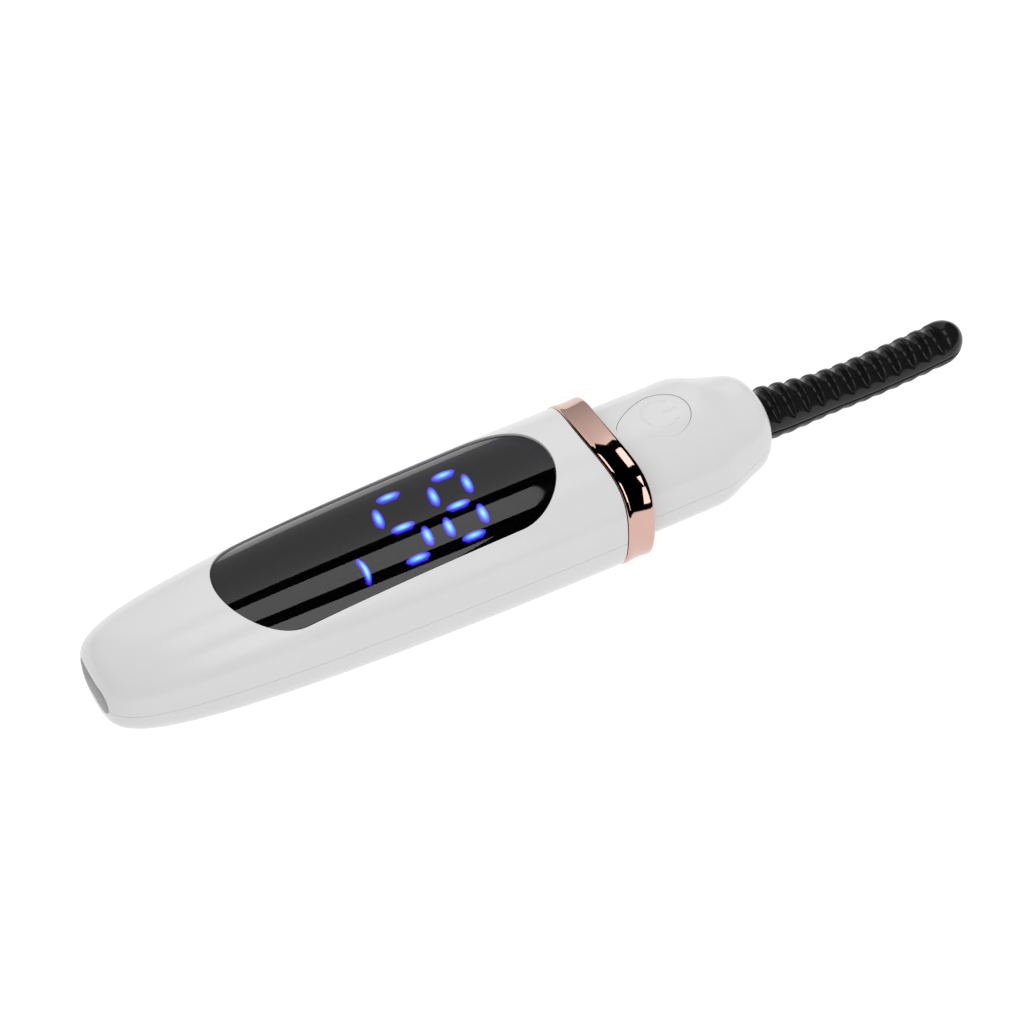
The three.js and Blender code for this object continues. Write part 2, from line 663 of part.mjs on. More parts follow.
const white = finish(0xe9e9ea, 0.28);
const smoked = finish(0x0a0a0c, 0.06);
const foam = finish(0x161616, 0.9);
const roseGold = finish(0xe0bab0, 0.12, 1);
const blackCeramic = finish(0x141415, 0.35);
const steel = finish(0xb8bbbf, 0.3, 1);
const laminate = finish(0x1c5a38, 0.5);
const blackPlastic = finish(0x131314, 0.5);
const epoxy = finish(0xe8ecf4, 0.4);
const aluminium = finish(0xb9bcc0, 0.4, 1);
const copper = finish(0xb8703c, 0.35, 1);
const foil = finish(0xa8adb5, 0.35, 1);
const polyimide = finish(0xb5702a, 0.4);
const redWire = finish(0xa31815, 0.45);
const blackWire = finish(0x101010, 0.45);
const whiteWire = finish(0xe4e2dc, 0.5);

// ---------------------------------------------------------------- assembly
const curler = new THREE.Group();

function place(name, solid, material) {
  const mesh = new THREE.Mesh(toGeometry(solid), material);
  mesh.name = name;
  curler.add(mesh);
}

place('upper_shell', upperShell(), white);
place('lower_shell', lowerShell(), white);
place('display_window', displayWindow(), smoked);
place('window_gasket', windowGasket(), foam);
place('trim_ring', trimRing(), roseGold);
place('power_button', powerButton(), white);
place('switch_plunger', switchPlunger(), blackPlastic);
place('switch_housing', switchHousing(), blackPlastic);
place('switch_cover', switchCover(), steel);
place('display_mask', displayMask(), blackPlastic);
place('digit_guide_tens', digitGuide(DIGIT_X.tens), epoxy);
place('digit_guide_units', digitGuide(DIGIT_X.units), epoxy);
place('icon_guide', lightGuide(DISPLAY_FRAME.tail + 0.1, DIGIT_X.tens - 4.2, [iconStroke()]), epoxy);
place('display_housing', displayHousing(), blackPlastic);
place('led_board', ledBoard(), laminate);
place('main_board', mainBoard(), laminate);
place('controller_chip', chip(-51, 0, 5, 4.4, 1), blackPlastic);
place('charger_chip', chip(-56.8, 0, 3, 3, 0.9), blackPlastic);
place('heater_transistor', chip(-3.2, -3.2, 3, 1.7, 1.1), blackPlastic);
place('filter_capacitor', chip(-2.6, 3, 3.5, 2.8, 1.9), polyimide);
place('boost_coil', boostCoil(), copper);
SCREW_X.forEach((x, i) => place(`board_screw_${i + 1}`, boardScrew(x), steel));
place('charge_port_shell', portShell(), steel);
place('charge_port_tongue', portTongue(), blackPlastic);
place('battery_cell', batteryCell(), foil);
place('battery_guard_board', guardBoard(), laminate);
place('battery_foam', batteryFoam(), foam);
place('battery_lead_positive', batteryLead(3), redWire);
place('battery_lead_negative', batteryLead(-3), blackWire);
place('comb_cover', combCover(), blackCeramic);
place('comb_base', combBase(), blackCeramic);
place('wand_collar', wandCollar(), blackPlastic);
place('heater_bar', heaterBar(), aluminium);
place('heater_film', heaterFilm(), polyimide);
place('thermistor', thermistor(), blackPlastic);
place('heater_lead_left', heaterLead(1), whiteWire);
place('heater_lead_right', heaterLead(-1), whiteWire);
place('thermistor_lead_left', thermistorLead(1), copper);
place('thermistor_lead_right', thermistorLead(-1), copper);

export default curler;
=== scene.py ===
# Looks of the heated eyelash curler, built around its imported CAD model. Metres, in the CAD frame.
import json
import math

import bmesh
import bpy
import numpy as np
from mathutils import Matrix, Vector


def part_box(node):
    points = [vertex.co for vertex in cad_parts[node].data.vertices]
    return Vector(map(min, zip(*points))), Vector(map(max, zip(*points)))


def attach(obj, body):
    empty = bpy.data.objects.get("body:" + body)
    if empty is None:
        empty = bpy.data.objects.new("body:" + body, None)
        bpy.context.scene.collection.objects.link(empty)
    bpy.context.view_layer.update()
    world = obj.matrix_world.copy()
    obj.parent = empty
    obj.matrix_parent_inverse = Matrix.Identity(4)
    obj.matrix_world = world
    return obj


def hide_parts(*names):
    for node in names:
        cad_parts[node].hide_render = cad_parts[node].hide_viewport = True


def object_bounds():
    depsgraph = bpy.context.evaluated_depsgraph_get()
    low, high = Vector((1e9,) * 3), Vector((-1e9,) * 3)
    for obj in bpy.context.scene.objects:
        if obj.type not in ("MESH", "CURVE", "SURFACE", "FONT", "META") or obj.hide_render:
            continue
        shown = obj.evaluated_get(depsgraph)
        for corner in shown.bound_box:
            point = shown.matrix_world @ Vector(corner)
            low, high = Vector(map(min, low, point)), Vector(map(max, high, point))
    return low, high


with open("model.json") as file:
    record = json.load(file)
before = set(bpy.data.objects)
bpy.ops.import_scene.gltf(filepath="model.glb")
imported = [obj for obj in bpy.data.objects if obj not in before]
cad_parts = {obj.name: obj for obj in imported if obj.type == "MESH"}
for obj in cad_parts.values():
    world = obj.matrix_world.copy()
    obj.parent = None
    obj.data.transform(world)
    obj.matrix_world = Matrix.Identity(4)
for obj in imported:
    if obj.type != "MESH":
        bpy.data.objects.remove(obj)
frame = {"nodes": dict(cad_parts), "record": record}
CAD_LOW, CAD_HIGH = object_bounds()
MM = 0.001


# ---------------------------------------------------------------- sizes, from the frame
def slice_box(node, x0, x1):
    """Lowest and highest corner of the CAD node's corners that lie between x0 and x1."""
    co = np.array([v.co for v in frame["nodes"][node].data.vertices])
    co = co[(co[:, 0] > x0) & (co[:, 0] < x1)]
    return Vector(co.min(0)), Vector(co.max(0))


TAIL_X, TIP_X = CAD_LOW.x, CAD_HIGH.x
FIT_GAP = 0.15 * MM  # between neighbouring pieces
AXIS_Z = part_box("upper_shell")[0].z - FIT_GAP / 2
PARTING_GAP = 0.06 * MM  # how open the line between the two shells looks
SECTION_POWER = 2.2  # of the superellipse
SECTION_RATIO = 1.2  # its width by its height

RING_LOW, RING_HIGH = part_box("trim_ring")
RING_WAVE = (-0.3 * MM, -0.35 * MM)  # four and two waves around the ring
RING_TAIL_X = RING_LOW.x - RING_WAVE[0] - RING_WAVE[1]
RING_WIDTH = 4.15 * MM
RING_HALF_WIDTH = RING_HIGH.y
RING_HALF_HEIGHT = RING_HIGH.z - AXIS_Z

BODY_END_X = RING_TAIL_X - FIT_GAP
BODY_HALF_WIDTH = slice_box("lower_shell", -1, BODY_END_X)[1].y
BODY_HALF_HEIGHT = BODY_HALF_WIDTH / SECTION_RATIO
BODY_WALL = 2.0 * MM
SWELL_POWER = 1.8  # these two shape how the body swells from its tail
SWELL_ROOT = 5

NECK_END_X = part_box("upper_shell")[1].x
NECK_HALF_WIDTH = slice_box("upper_shell", RING_HIGH.x, NECK_END_X)[1].y
NECK_WALL = 1.6 * MM
NECK_CONE_X = NECK_END_X - 9.35 * MM  # where the neck starts to narrow
NECK_CONE_END_X = NECK_END_X - 2.55 * MM  # where it starts to round off
NECK_CONE_HALF_WIDTH = 7.32 * MM
NECK_END_HALF_WIDTH = 4.5 * MM
NECK_END_RATIO = 1.03  # like SECTION_RATIO, at the neck's end
BOSS_RADIUS = 1.7 * MM
BOSS_HOLE_RADIUS = 0.75 * MM

WINDOW_LOW, WINDOW_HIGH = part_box("display_window")
WINDOW_INSET = 0.3 * MM
WINDOW_THICKNESS = 0.9 * MM
WINDOW_LEDGE = 1.0 * MM  # how far the shell reaches under the window's edge

BUTTON_X = (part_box("switch_plunger")[0].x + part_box("switch_plunger")[1].x) / 2
BUTTON_AHEAD = 4.4 * MM
BUTTON_BEHIND = 7.0 * MM
BUTTON_HALF_WIDTH = 4.2 * MM
BUTTON_TAIL_POWER = 1.4  # below 2, so that the end towards the ring is pointed
BUTTON_FLANGE = 0.8 * MM  # how thick the flange is, and how far it stands out of the cap
STEM_RADIUS = 1.7 * MM
BUTTON_SINK = 0.1 * MM  # how far the cap looks sunk below the neck's surface
SYMBOL_RADIUS = 2.6 * MM
SYMBOL_GAP = 0.68  # angle from the symbol's stroke to the circle's ends

COMB_ROOT_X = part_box("comb_cover")[0].x
COMB_MOUTH_X = NECK_END_X + 1.15 * MM
COMB_SLIM_X = COMB_MOUTH_X + 12.9 * MM  # where the wand's taper ends
COMB_DOME = 3.6 * MM  # length of the rounded tip
COMB_ROOT_RADIUS = 3.9 * MM
COMB_HALF_WIDTH = 3.2 * MM
COMB_HALF_HEIGHT = 3.3 * MM
COMB_WALL = 1.3 * MM
COMB_SEAM_ANGLE = math.acos(-0.2 * MM / COMB_HALF_HEIGHT)  # from the top, just past the widest place
COMB_LOWEST_X = 51.4 * MM  # where its middle line is lowest
COMB_DROP = 1.25 * MM  # how far that is below the axis
COMB_CURVE = 3.7  # the middle line's rise away from there, in 1/m
SCOOP_COUNT = 12
SCOOP_PITCH = 2.636 * MM
SCOOP_WIDTH = 1.7 * MM
SCOOP_DEPTH = 0.8 * MM
CREST_DEPTH = 0.1 * MM  # how far the edges of a rib's crest are rounded off
SCALLOP_DEPTH = 0.14 * MM  # on the wand's lower half
SCOOP_FRONT_X = NECK_END_X + 2.5 * MM + SCOOP_PITCH * np.arange(SCOOP_COUNT)  # tip-side edges
FLANGE_LENGTH = 1.0 * MM
FLANGE_HEIGHT = 0.8 * MM

DIGIT_SLANT = math.tan(math.radians(7.9))  # how far the digits lean
DIGIT_HEIGHT = 11.5 * MM
DIGIT_WIDTH = 5.1 * MM
SEGMENT_LENGTH = 3.5 * MM
SEGMENT_WIDTH = 1.3 * MM
LIT = {5: (0, 1, 2, 3, 6), 8: (0, 1, 2, 3, 4, 5, 6)}  # segments of the two digits shown

ICON_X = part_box("digit_guide_tens")[0].x - 3.65 * MM
ICON_Y = -3.7 * MM
ICON_BOW = 6.0 * MM  # the radius that the icon's stroke is bent to
ICON_HALF_WIDTH = 0.45 * MM
ICON_MIDDLE = -0.11  # angle along the bow, to the stroke's middle
ICON_REACH = 0.39  # angle from there to its ends

AROUND = 144  # points around a section
TOOL_RISE = 4 * MM  # how far a tool that cuts a surface stands above it
TOOL_DEPTH = 6 * MM  # and how far it reaches below
FAR = 1.0  # beyond everything


# ---------------------------------------------------------------- mesh helpers
def mesh_object(name, points, faces):
    """A smooth-shaded object in the scene."""
    mesh = bpy.data.meshes.new(name)
    mesh.from_pydata([tuple(p) for p in points], [], [tuple(f) for f in faces])
    mesh.validate()
    for polygon in mesh.polygons:
        polygon.use_smooth = True
    obj = bpy.data.objects.new(name, mesh)
    bpy.context.scene.collection.objects.link(obj)
    return obj


def loft_faces(rows, columns, closed_along=False):
    """Quads over a grid that closes around, and along as well when asked."""
    faces = []
    last = rows if closed_along else rows - 1
    for r in range(last):
        a, b = r * columns, ((r + 1) % rows) * columns
        for c in range(columns):
            d = (c + 1) % columns
            faces.append((a + c, b + c, b + d, a + d))
    return faces


def loft(name, rings):
    """A closed skin over rings of points that follow each other, with a fan at each end."""
    rings = [np.asarray(ring, float) for ring in rings]
    columns = len(rings[0])
    points = np.concatenate(rings + [rings[0].mean(0)[None], rings[-1].mean(0)[None]])
    faces = loft_faces(len(rings), columns)
    first, last = len(points) - 2, len(points) - 1
    base = (len(rings) - 1) * columns
    for c in range(columns):
        d = (c + 1) % columns
        faces.append((first, c, d))
        faces.append((last, base + d, base + c))
    return outward(mesh_object(name, points, faces))


def closed_loft(name, rings):
    """A skin that closes both ways, like a ring."""
    points = np.concatenate([np.asarray(ring, float) for ring in rings])
    return outward(mesh_object(name, points, loft_faces(len(rings), len(rings[0]), True)))


def outward(obj):
    """Turns a closed mesh's faces to point out."""
    bm = bmesh.new()
    bm.from_mesh(obj.data)
    if bm.calc_volume(signed=True) < 0:
        bmesh.ops.reverse_faces(bm, faces=bm.faces)
    bm.to_mesh(obj.data)
    bm.free()
    return obj


def bake_modifiers(obj):
    """Puts what the modifiers make in the place of obj's own mesh."""
    graph = bpy.context.evaluated_depsgraph_get()
    mesh = bpy.data.meshes.new_from_object(obj.evaluated_get(graph), depsgraph=graph)
    obj.modifiers.clear()
    old = obj.data
    obj.data = mesh
    bpy.data.meshes.remove(old)
    return obj


def combine(obj, tool, operation="DIFFERENCE", keep_tool=False):
    """Joins, cuts or intersects obj with a tool, which is then gone."""
    modifier = obj.modifiers.new(operation.lower(), "BOOLEAN")
    modifier.operation = operation
    modifier.solver = "MANIFOLD"
    modifier.object = tool
    bpy.context.view_layer.update()
    bake_modifiers(obj)
    if not keep_tool:
        bpy.data.objects.remove(tool)
    return obj


def block(name, low, high):
    """A box between two corners."""
    (x0, y0, z0), (x1, y1, z1) = low, high
    rings = [[(x, y0, z0), (x, y1, z0), (x, y1, z1), (x, y0, z1)] for x in (x0, x1)]
    return loft(name, rings)


def rod(name, x, radius, z0, z1, sides=48):
    """An upright round post over the object's middle line."""
    turns = np.linspace(0, 2 * math.pi, sides, endpoint=False)
    rings = [[(x + radius * math.cos(t), radius * math.sin(t), z) for t in turns] for z in (z0, z1)]
    return loft(name, rings)


def layer(name, z0, z1):
    """Everything between two heights."""
    return block(name, (-FAR, -FAR, z0), (FAR, FAR, z1))


# ---------------------------------------------------------------- handle surfaces
def round_off(value, power=SECTION_POWER):
    """Turns a sine or cosine into a superellipse's."""
    return np.sign(value) * np.abs(value) ** (2 / power)


def wave_at(angle):
    """How far the ring's edges wander along X, by the angle from the top."""
    return RING_WAVE[0] * np.cos(4 * angle) + RING_WAVE[1] * np.cos(2 * angle)


def smoothstep(x, x0, x1):
    """0 up to x0, 1 from x1 on, and an even change between."""
    t = np.clip((np.asarray(x, float) - x0) / (x1 - x0), 0, 1)
    return t * t * (3 - 2 * t)


class Tube:
    """A surface along X, of superellipse sections around the axis. half_sizes gives a section's half width
    and half height at x, and stations are the x of the sections that its solid is lofted through."""

    def __init__(self, half_sizes, stations):
        self.half_sizes = half_sizes
        self.stations = stations

    def ring(self, x, wave=0.0):
        """One section, kept above the floor. wave is how much of the ring's wave it follows."""
        angle = np.linspace(0, 2 * math.pi, AROUND, endpoint=False)
        width, height = self.half_sizes(x)
        y = width * round_off(np.sin(angle))
        z = AXIS_Z + height * round_off(np.cos(angle))
        return np.stack([x + wave * wave_at(angle), y, np.maximum(z, 0.0)], 1)

    def level(self, points):
        """Below 1 inside, 1 on the surface, above 1 outside."""
        width, height = self.half_sizes(points[:, 0])
        y = np.abs(points[:, 1]) / np.maximum(width, 1e-9)
        z = np.abs(points[:, 2] - AXIS_Z) / np.maximum(height, 1e-9)
        return (y ** SECTION_POWER + z ** SECTION_POWER) ** (1 / SECTION_POWER)

    def normals(self, points):
        """Outward directions of the surface, at points on it."""
        step = 1e-6
        gradient = np.stack([
            self.level(points + step * axis) - self.level(points - step * axis)
            for axis in np.eye(3)], 1)
        return gradient / np.maximum(np.linalg.norm(gradient, axis=1, keepdims=True), 1e-12)

    def top(self, x, y):
        """Height of the surface over a point in plan."""
        width, height = self.half_sizes(x)
        rest = np.clip(1 - np.abs(y / width) ** SECTION_POWER, 0, 1)
        return AXIS_Z + height * rest ** (1 / SECTION_POWER)

    def solid(self, name, wave_from=None):
        """The closed tube. From wave_from to the body's end, its sections take on the trim ring's wave."""
        waves = np.zeros(len(self.stations))
        if wave_from is not None:
            waves = np.clip((self.stations - wave_from) / (BODY_END_X - wave_from), 0, 1)
        return loft(name, [self.ring(x, wave) for x, wave in zip(self.stations, waves)])


def body_tube(inset=0.0):
    """The handle behind the ring, swelling from its blunt tail, or a smaller copy of it."""
    start = TAIL_X + inset
    run = BODY_END_X - inset - start

    def half_sizes(x):
        along = np.clip((x - start) / run, 0, 1)
        swell = (1 - (1 - along) ** SWELL_POWER) ** (1 / SWELL_ROOT)
        return (BODY_HALF_WIDTH - inset) * swell, (BODY_HALF_HEIGHT - inset) * swell

    turns = math.pi / 2 * np.linspace(0, 1, 120)[1:] ** 2  # closer together at the tail
    return Tube(half_sizes, start + run * (1 - np.cos(turns) ** (2 / SWELL_POWER)))


def bend(p0, p1, p2, steps):
    """Points on a quadratic curve."""
    t = np.linspace(0, 1, steps)[:, None]
    return (1 - t) ** 2 * np.array(p0) + 2 * t * (1 - t) * np.array(p1) + t ** 2 * np.array(p2)


def neck_outline():
    """Half the neck in plan, as x and half width: straight, a shoulder, a cone and a rounded end."""
    wide, cone = NECK_HALF_WIDTH, NECK_CONE_X
    straight = [(x, wide) for x in np.linspace(RING_TAIL_X - 1.2 * MM, cone - 1.5 * MM, 24)]
    shoulder = bend((cone - 1.4 * MM, wide), (cone, wide), (cone + 1.3 * MM, wide - 0.52 * MM), 8)
    round_end = bend((NECK_CONE_END_X, NECK_CONE_HALF_WIDTH), (NECK_END_X, NECK_CONE_HALF_WIDTH - 1.1 * MM),
                     (NECK_END_X, NECK_END_HALF_WIDTH), 14)
    slope = np.linspace(shoulder[-1], round_end[0], 10)[1:-1]
    return np.concatenate([straight, shoulder, slope, round_end])


def neck_tube(inset=0.0):
    """The neck ahead of the ring, which turns almost round at its end, or a smaller copy of it."""
    outline = neck_outline()

    def half_sizes(x):
        width = np.interp(x, outline[:, 0], outline[:, 1])
        turned = smoothstep(x, NECK_END_X - 6 * MM, NECK_END_X)
        ratio = SECTION_RATIO + (NECK_END_RATIO - SECTION_RATIO) * turned
        return width - inset, width / ratio - inset

    return Tube(half_sizes, outline[:, 0])


# ---------------------------------------------------------------- plan outlines
def pill_outline(x0, x1, radius, corners=80):
    """A plan outline with straight sides and half-round ends."""
    straight = np.linspace(x0 + radius, x1 - radius, 60)[1:-1]
    side = np.full(len(straight), radius)
    turns = np.linspace(-math.pi / 2, math.pi / 2, corners)
    ahead = np.stack([x1 - radius + radius * np.cos(turns), radius * np.sin(turns)], 1)
    behind = np.stack([x0 + radius - radius * np.cos(turns), -radius * np.sin(turns)], 1)
    far = np.stack([straight[::-1], side], 1)
    near = np.stack([straight, -side], 1)
    return np.concatenate([ahead, far, behind, near])


def egg_outline(grow, corners=120):
    """The button in plan, grown all round: round towards the comb, drawn out towards the ring."""
    angle = np.linspace(0, 2 * math.pi, corners, endpoint=False)
    ahead = np.cos(angle) > 0
    power = np.where(ahead, 1.0, 2 / BUTTON_TAIL_POWER)
    reach = np.where(ahead, BUTTON_AHEAD + grow, -BUTTON_BEHIND - grow)
    x = BUTTON_X + reach * np.abs(np.cos(angle)) ** power
    y = np.sign(np.sin(angle)) * (BUTTON_HALF_WIDTH + grow) * np.abs(np.sin(angle)) ** power
    return np.stack([x, y], 1)


def outline_normals(outline):
    """Outward directions at the points of a plan outline that runs anticlockwise."""
    along = np.roll(outline, -1, 0) - np.roll(outline, 1, 0)
    along /= np.linalg.norm(along, axis=1, keepdims=True)
    return np.stack([along[:, 1], -along[:, 0]], 1)


def plan_tool(name, outline, surface, profile):
    """An upright solid over a plan outline. The profile lists how far each ring stands out of the outline and
    how far it stands above the surface."""
    normals = outline_normals(outline)
    rings = []
    for out, rise in profile:
        plan = outline + out * normals
        z = surface.top(plan[:, 0], plan[:, 1]) + rise
        rings.append(np.column_stack([plan, z]))
    return loft(name, rings)


def hole_profile(lip):
    """A hole whose rim rolls outwards over the last lip of its depth."""
    turns = np.radians([0, 20, 40, 60, 80])
    roll = [(lip * (1 - math.cos(t)), -lip * (1 - math.sin(t))) for t in turns]
    return [(0, -TOOL_DEPTH), *roll, (1.6 * lip, lip), (1.6 * lip, TOOL_RISE)]


def plug_profile(lip):
    """A plug whose rim rolls inwards over the last lip of its height."""
    turns = np.radians([0, 20, 40, 60, 80])
    roll = [(-lip * (1 - math.cos(t)), -lip * (1 - math.sin(t))) for t in turns]
    return [(0, -TOOL_DEPTH), *roll, (-lip, TOOL_RISE)]


def polish(obj, tubes, reach=0.012 * MM):
    """Gives every corner that lies on one of the tubes that tube's own direction, so that gloss runs true."""
    mesh = obj.data
    for polygon in mesh.polygons:
        polygon.use_smooth = True
    mesh.set_sharp_from_angle(angle=math.radians(35))
    loops = len(mesh.loops)
    normals = np.zeros(loops * 3, np.float32)
    mesh.corner_normals.foreach_get("vector", normals)
    normals = normals.reshape(-1, 3)
    corner = np.zeros(loops, np.int32)
    mesh.loops.foreach_get("vertex_index", corner)
    co = np.zeros(len(mesh.vertices) * 3, np.float32)
    mesh.vertices.foreach_get("co", co)
    points = co.reshape(-1, 3).astype(float)[corner]
    flat = np.zeros(len(mesh.polygons) * 3, np.float32)
    mesh.polygons.foreach_get("normal", flat)
    counts = np.zeros(len(mesh.polygons), np.int32)
    mesh.polygons.foreach_get("loop_total", counts)
    facing = np.repeat(flat.reshape(-1, 3), counts, axis=0)
    for tube in tubes:
        true = tube.normals(points)
        size = np.minimum(*tube.half_sizes(points[:, 0]))
        off = np.abs(tube.level(points) - 1) * size
        on = (off < reach) & ((true * facing).sum(1) > 0.9)
        normals[on] = true[on]
    mesh.normals_split_custom_set([tuple(n) for n in normals])
    return obj


# ---------------------------------------------------------------- comb surfaces
def comb_centre(x):
    """Height of the wand's curved middle line, which is level inside the neck."""
    from_lowest = np.maximum(x, COMB_MOUTH_X) - COMB_LOWEST_X
    return AXIS_Z - COMB_DROP + COMB_CURVE * from_lowest ** 2


def comb_half_sizes(x):
    """The wand's half width and half height: a flange, a taper and, at the tip, a dome."""
    slim = smoothstep(x, COMB_MOUTH_X, COMB_SLIM_X)
    into_dome = np.clip((x - (TIP_X - COMB_DOME)) / COMB_DOME, 0, 1)
    close = np.sqrt(1 - into_dome ** 2)
    flange = np.where(x < COMB_ROOT_X + FLANGE_LENGTH, FLANGE_HEIGHT, 0.0)
    width = close * (COMB_ROOT_RADIUS + (COMB_HALF_WIDTH - COMB_ROOT_RADIUS) * slim) + flange
    height = close * (COMB_ROOT_RADIUS + (COMB_HALF_HEIGHT - COMB_ROOT_RADIUS) * slim) + flange
    return width, height


def scoop_share(angle):
    """How wide a scoop still is, by the angle from the top: it closes down the wand's flanks."""
    start, end = math.radians(20), math.radians(72)
    return np.sqrt(1 - np.clip((np.abs(angle) - start) / (end - start), 0, 1) ** 2)


def crest_ring(angle, front_x, along):
    """Where the points of a ring lie on the rib that follows a scoop, and how deep its rounding is."""
    share = scoop_share(angle)
    length = SCOOP_PITCH - SCOOP_WIDTH * np.maximum(share, 0.1)
    return front_x + along * length, CREST_DEPTH * share * abs(2 * along - 1) ** 3


def scoop_ring(angle, front_x, across):
    """The same for a ring inside a scoop, whose tip-side edge keeps its place as the scoop narrows."""
    share = scoop_share(angle)
    x = front_x - (1 - across) * SCOOP_WIDTH * np.maximum(share, 0.1)
    round_floor = 2 * math.sqrt(across * (1 - across))
    return x, share * (CREST_DEPTH + (SCOOP_DEPTH - CREST_DEPTH) * round_floor)


def plain_ring(angle, x):
    """The same for a ring that isn't sunk."""
    return np.full(len(angle), x), np.zeros(len(angle))


def scalloped_ring(angle, x):
    """The same for the lower half, which swells and narrows a little with the ribs."""
    phase = 2 * math.pi * (x - SCOOP_FRONT_X[0]) / SCOOP_PITCH
    under = smoothstep(np.abs(angle), math.radians(95), math.radians(125))
    return np.full(len(angle), x), SCALLOP_DEPTH * (1 - math.cos(phase)) / 2 * under


def root_rings():
    """Ring makers with their settings, here for the flange and the wand's start in the neck."""
    flange = [COMB_ROOT_X + step for step in (0, FLANGE_LENGTH - 0.05 * MM, FLANGE_LENGTH)]
    return [(plain_ring, x) for x in (*flange, COMB_ROOT_X + 6 * MM)]


def dome_rings():
    """The same for the tip's dome."""
    turns = np.linspace(0, math.pi / 2, 22)[1:-1]
    return [(plain_ring, TIP_X - COMB_DOME + COMB_DOME * math.sin(t)) for t in turns]


def ribbed_rings():
    """The same along the whole ribbed half."""
    rings = root_rings()
    for front_x in SCOOP_FRONT_X:
        rings += [(crest_ring, front_x - SCOOP_PITCH, along) for along in np.linspace(0, 1, 8)]
        rings += [(scoop_ring, front_x, (1 - math.cos(t)) / 2) for t in np.linspace(0, math.pi, 18)[1:-1]]
    rings.append((crest_ring, SCOOP_FRONT_X[-1], 0.0))
    return rings + dome_rings()


def scalloped_rings():
    """The same along the whole lower half."""
    start, end = SCOOP_FRONT_X[0] - SCOOP_PITCH, SCOOP_FRONT_X[-1]
    middle = [(scalloped_ring, x) for x in np.linspace(start, end, 14 * SCOOP_COUNT)]
    return root_rings() + middle + dome_rings()


def comb_half(name, side, ring_makers, count=72):
    """One half of the wand, above (side 1) or below (side -1) its seam: an open channel."""
    seam = math.cos(COMB_SEAM_ANGLE)
    sweep = np.linspace(-1, 1, count)
    angle = sweep * COMB_SEAM_ANGLE if side > 0 else math.pi + sweep * (math.pi - COMB_SEAM_ANGLE)
    signed = (angle + math.pi) % (2 * math.pi) - math.pi
    rings = []
    for maker, *settings in ring_makers:
        x, sink = maker(signed, *settings)
        width, height = comb_half_sizes(x)
        scale = 1 - sink / height
        outer = half_ring(x, scale * width, scale * height, angle, side, seam, rim=0.07 * MM)
        core_width = core_size(x, COMB_HALF_WIDTH, width)
        core_height = core_size(x, COMB_HALF_HEIGHT, height)
        inner = half_ring(x, core_width, core_height, angle, side, seam)
        rings.append(np.concatenate([outer, inner[::-1]]))
    return loft(name, rings)


def core_size(x, usual, here):
    """Half width or half height of the room inside the wand, which closes to almost nothing near the tip."""
    into_end = np.clip((x - TIP_X + COMB_DOME + 2.6 * MM) / (2 * MM), 0, 1)
    hollow = np.sqrt(1 - into_end ** 2)
    return np.maximum((usual - COMB_WALL) * hollow, np.minimum(0.02 * MM, here * 0.2))


def half_ring(x, width, height, angle, side, seam, rim=0.0):
    """Part of an oval ring, kept a little off the seam, with its corners at the seam tucked in by rim."""
    gap = 0.05 * MM
    y = width * np.sin(angle)
    lift = side * height * (np.cos(angle) - seam)
    if rim:
        y -= np.sign(y) * np.clip(1 - lift / (3 * rim), 0, 1) ** 2 * np.minimum(rim, width * 0.3)
    return np.stack([x, y, comb_centre(x) + height * seam + side * np.maximum(lift, gap)], 1)


# ---------------------------------------------------------------- casing pieces
def cavity():
    """The room inside both shells, with the joint between body and neck and the wand's opening."""
    body = body_tube(BODY_WALL).solid("cavity")
    neck = neck_tube(NECK_WALL)
    combine(body, neck.solid("neck_room"), "UNION")
    ahead = [neck.ring(x) for x in (RING_TAIL_X - 3 * MM, RING_TAIL_X)]
    combine(body, loft("joint_room", ahead), "UNION")
    mouth = [mouth_ring(x) for x in (COMB_MOUTH_X - 6 * MM, COMB_MOUTH_X + 2 * MM)]
    return combine(body, loft("mouth", mouth), "UNION")


def mouth_ring(x):
    """The round opening that the wand comes out of."""
    radius = COMB_ROOT_RADIUS + 0.2 * MM
    turns = np.linspace(0, 2 * math.pi, 96, endpoint=False)
    z = comb_centre(COMB_MOUTH_X) + radius * np.cos(turns)
    return np.stack([np.full(len(turns), x), radius * np.sin(turns), z], 1)


def casing(name):
    """Both shells as one hollow solid, before it is split."""
    whole = body_tube().solid(name, wave_from=BODY_END_X - 6 * MM)
    combine(whole, neck_tube().solid("neck"), "UNION")
    combine(whole, cavity())
    return combine(whole, port_tool())


def port_tool():
    """The socket's opening: straight sides and round ends, and a rim that flares out at the tail."""
    low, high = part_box("charge_port_shell")
    side_room, height_room, flare = 0.05 * MM, 0.4 * MM, 0.12 * MM
    radius = (high.z - low.z) / 2 + height_room
    reach = (high.y - low.y) / 2 + side_room - radius
    middle = (high.z + low.z) / 2
    turns = np.linspace(0, 2 * math.pi, 96, endpoint=False)
    sides = reach * np.sign(np.round(np.sin(turns), 9))  # none at the very top and bottom
    surface = body_tube()
    rings = []
    # How far each ring stands out of the opening, and how deep it lies. The first is clear of the tail.
    steps = [(2 * flare, None), (flare, 0.0), (0.3 * flare, 0.3 * flare), (0.0, flare), (0.0, 4 * MM)]
    for out, depth in steps:
        y = sides + (radius + out) * np.sin(turns)
        z = middle + (radius + out) * np.cos(turns)
        if depth is None:
            x = np.full(len(turns), TAIL_X - MM)
        else:
            x = tail_surface_x(surface, y, z) + depth
        rings.append(np.stack([x, y, z], 1))
    return loft("port_hole", rings)


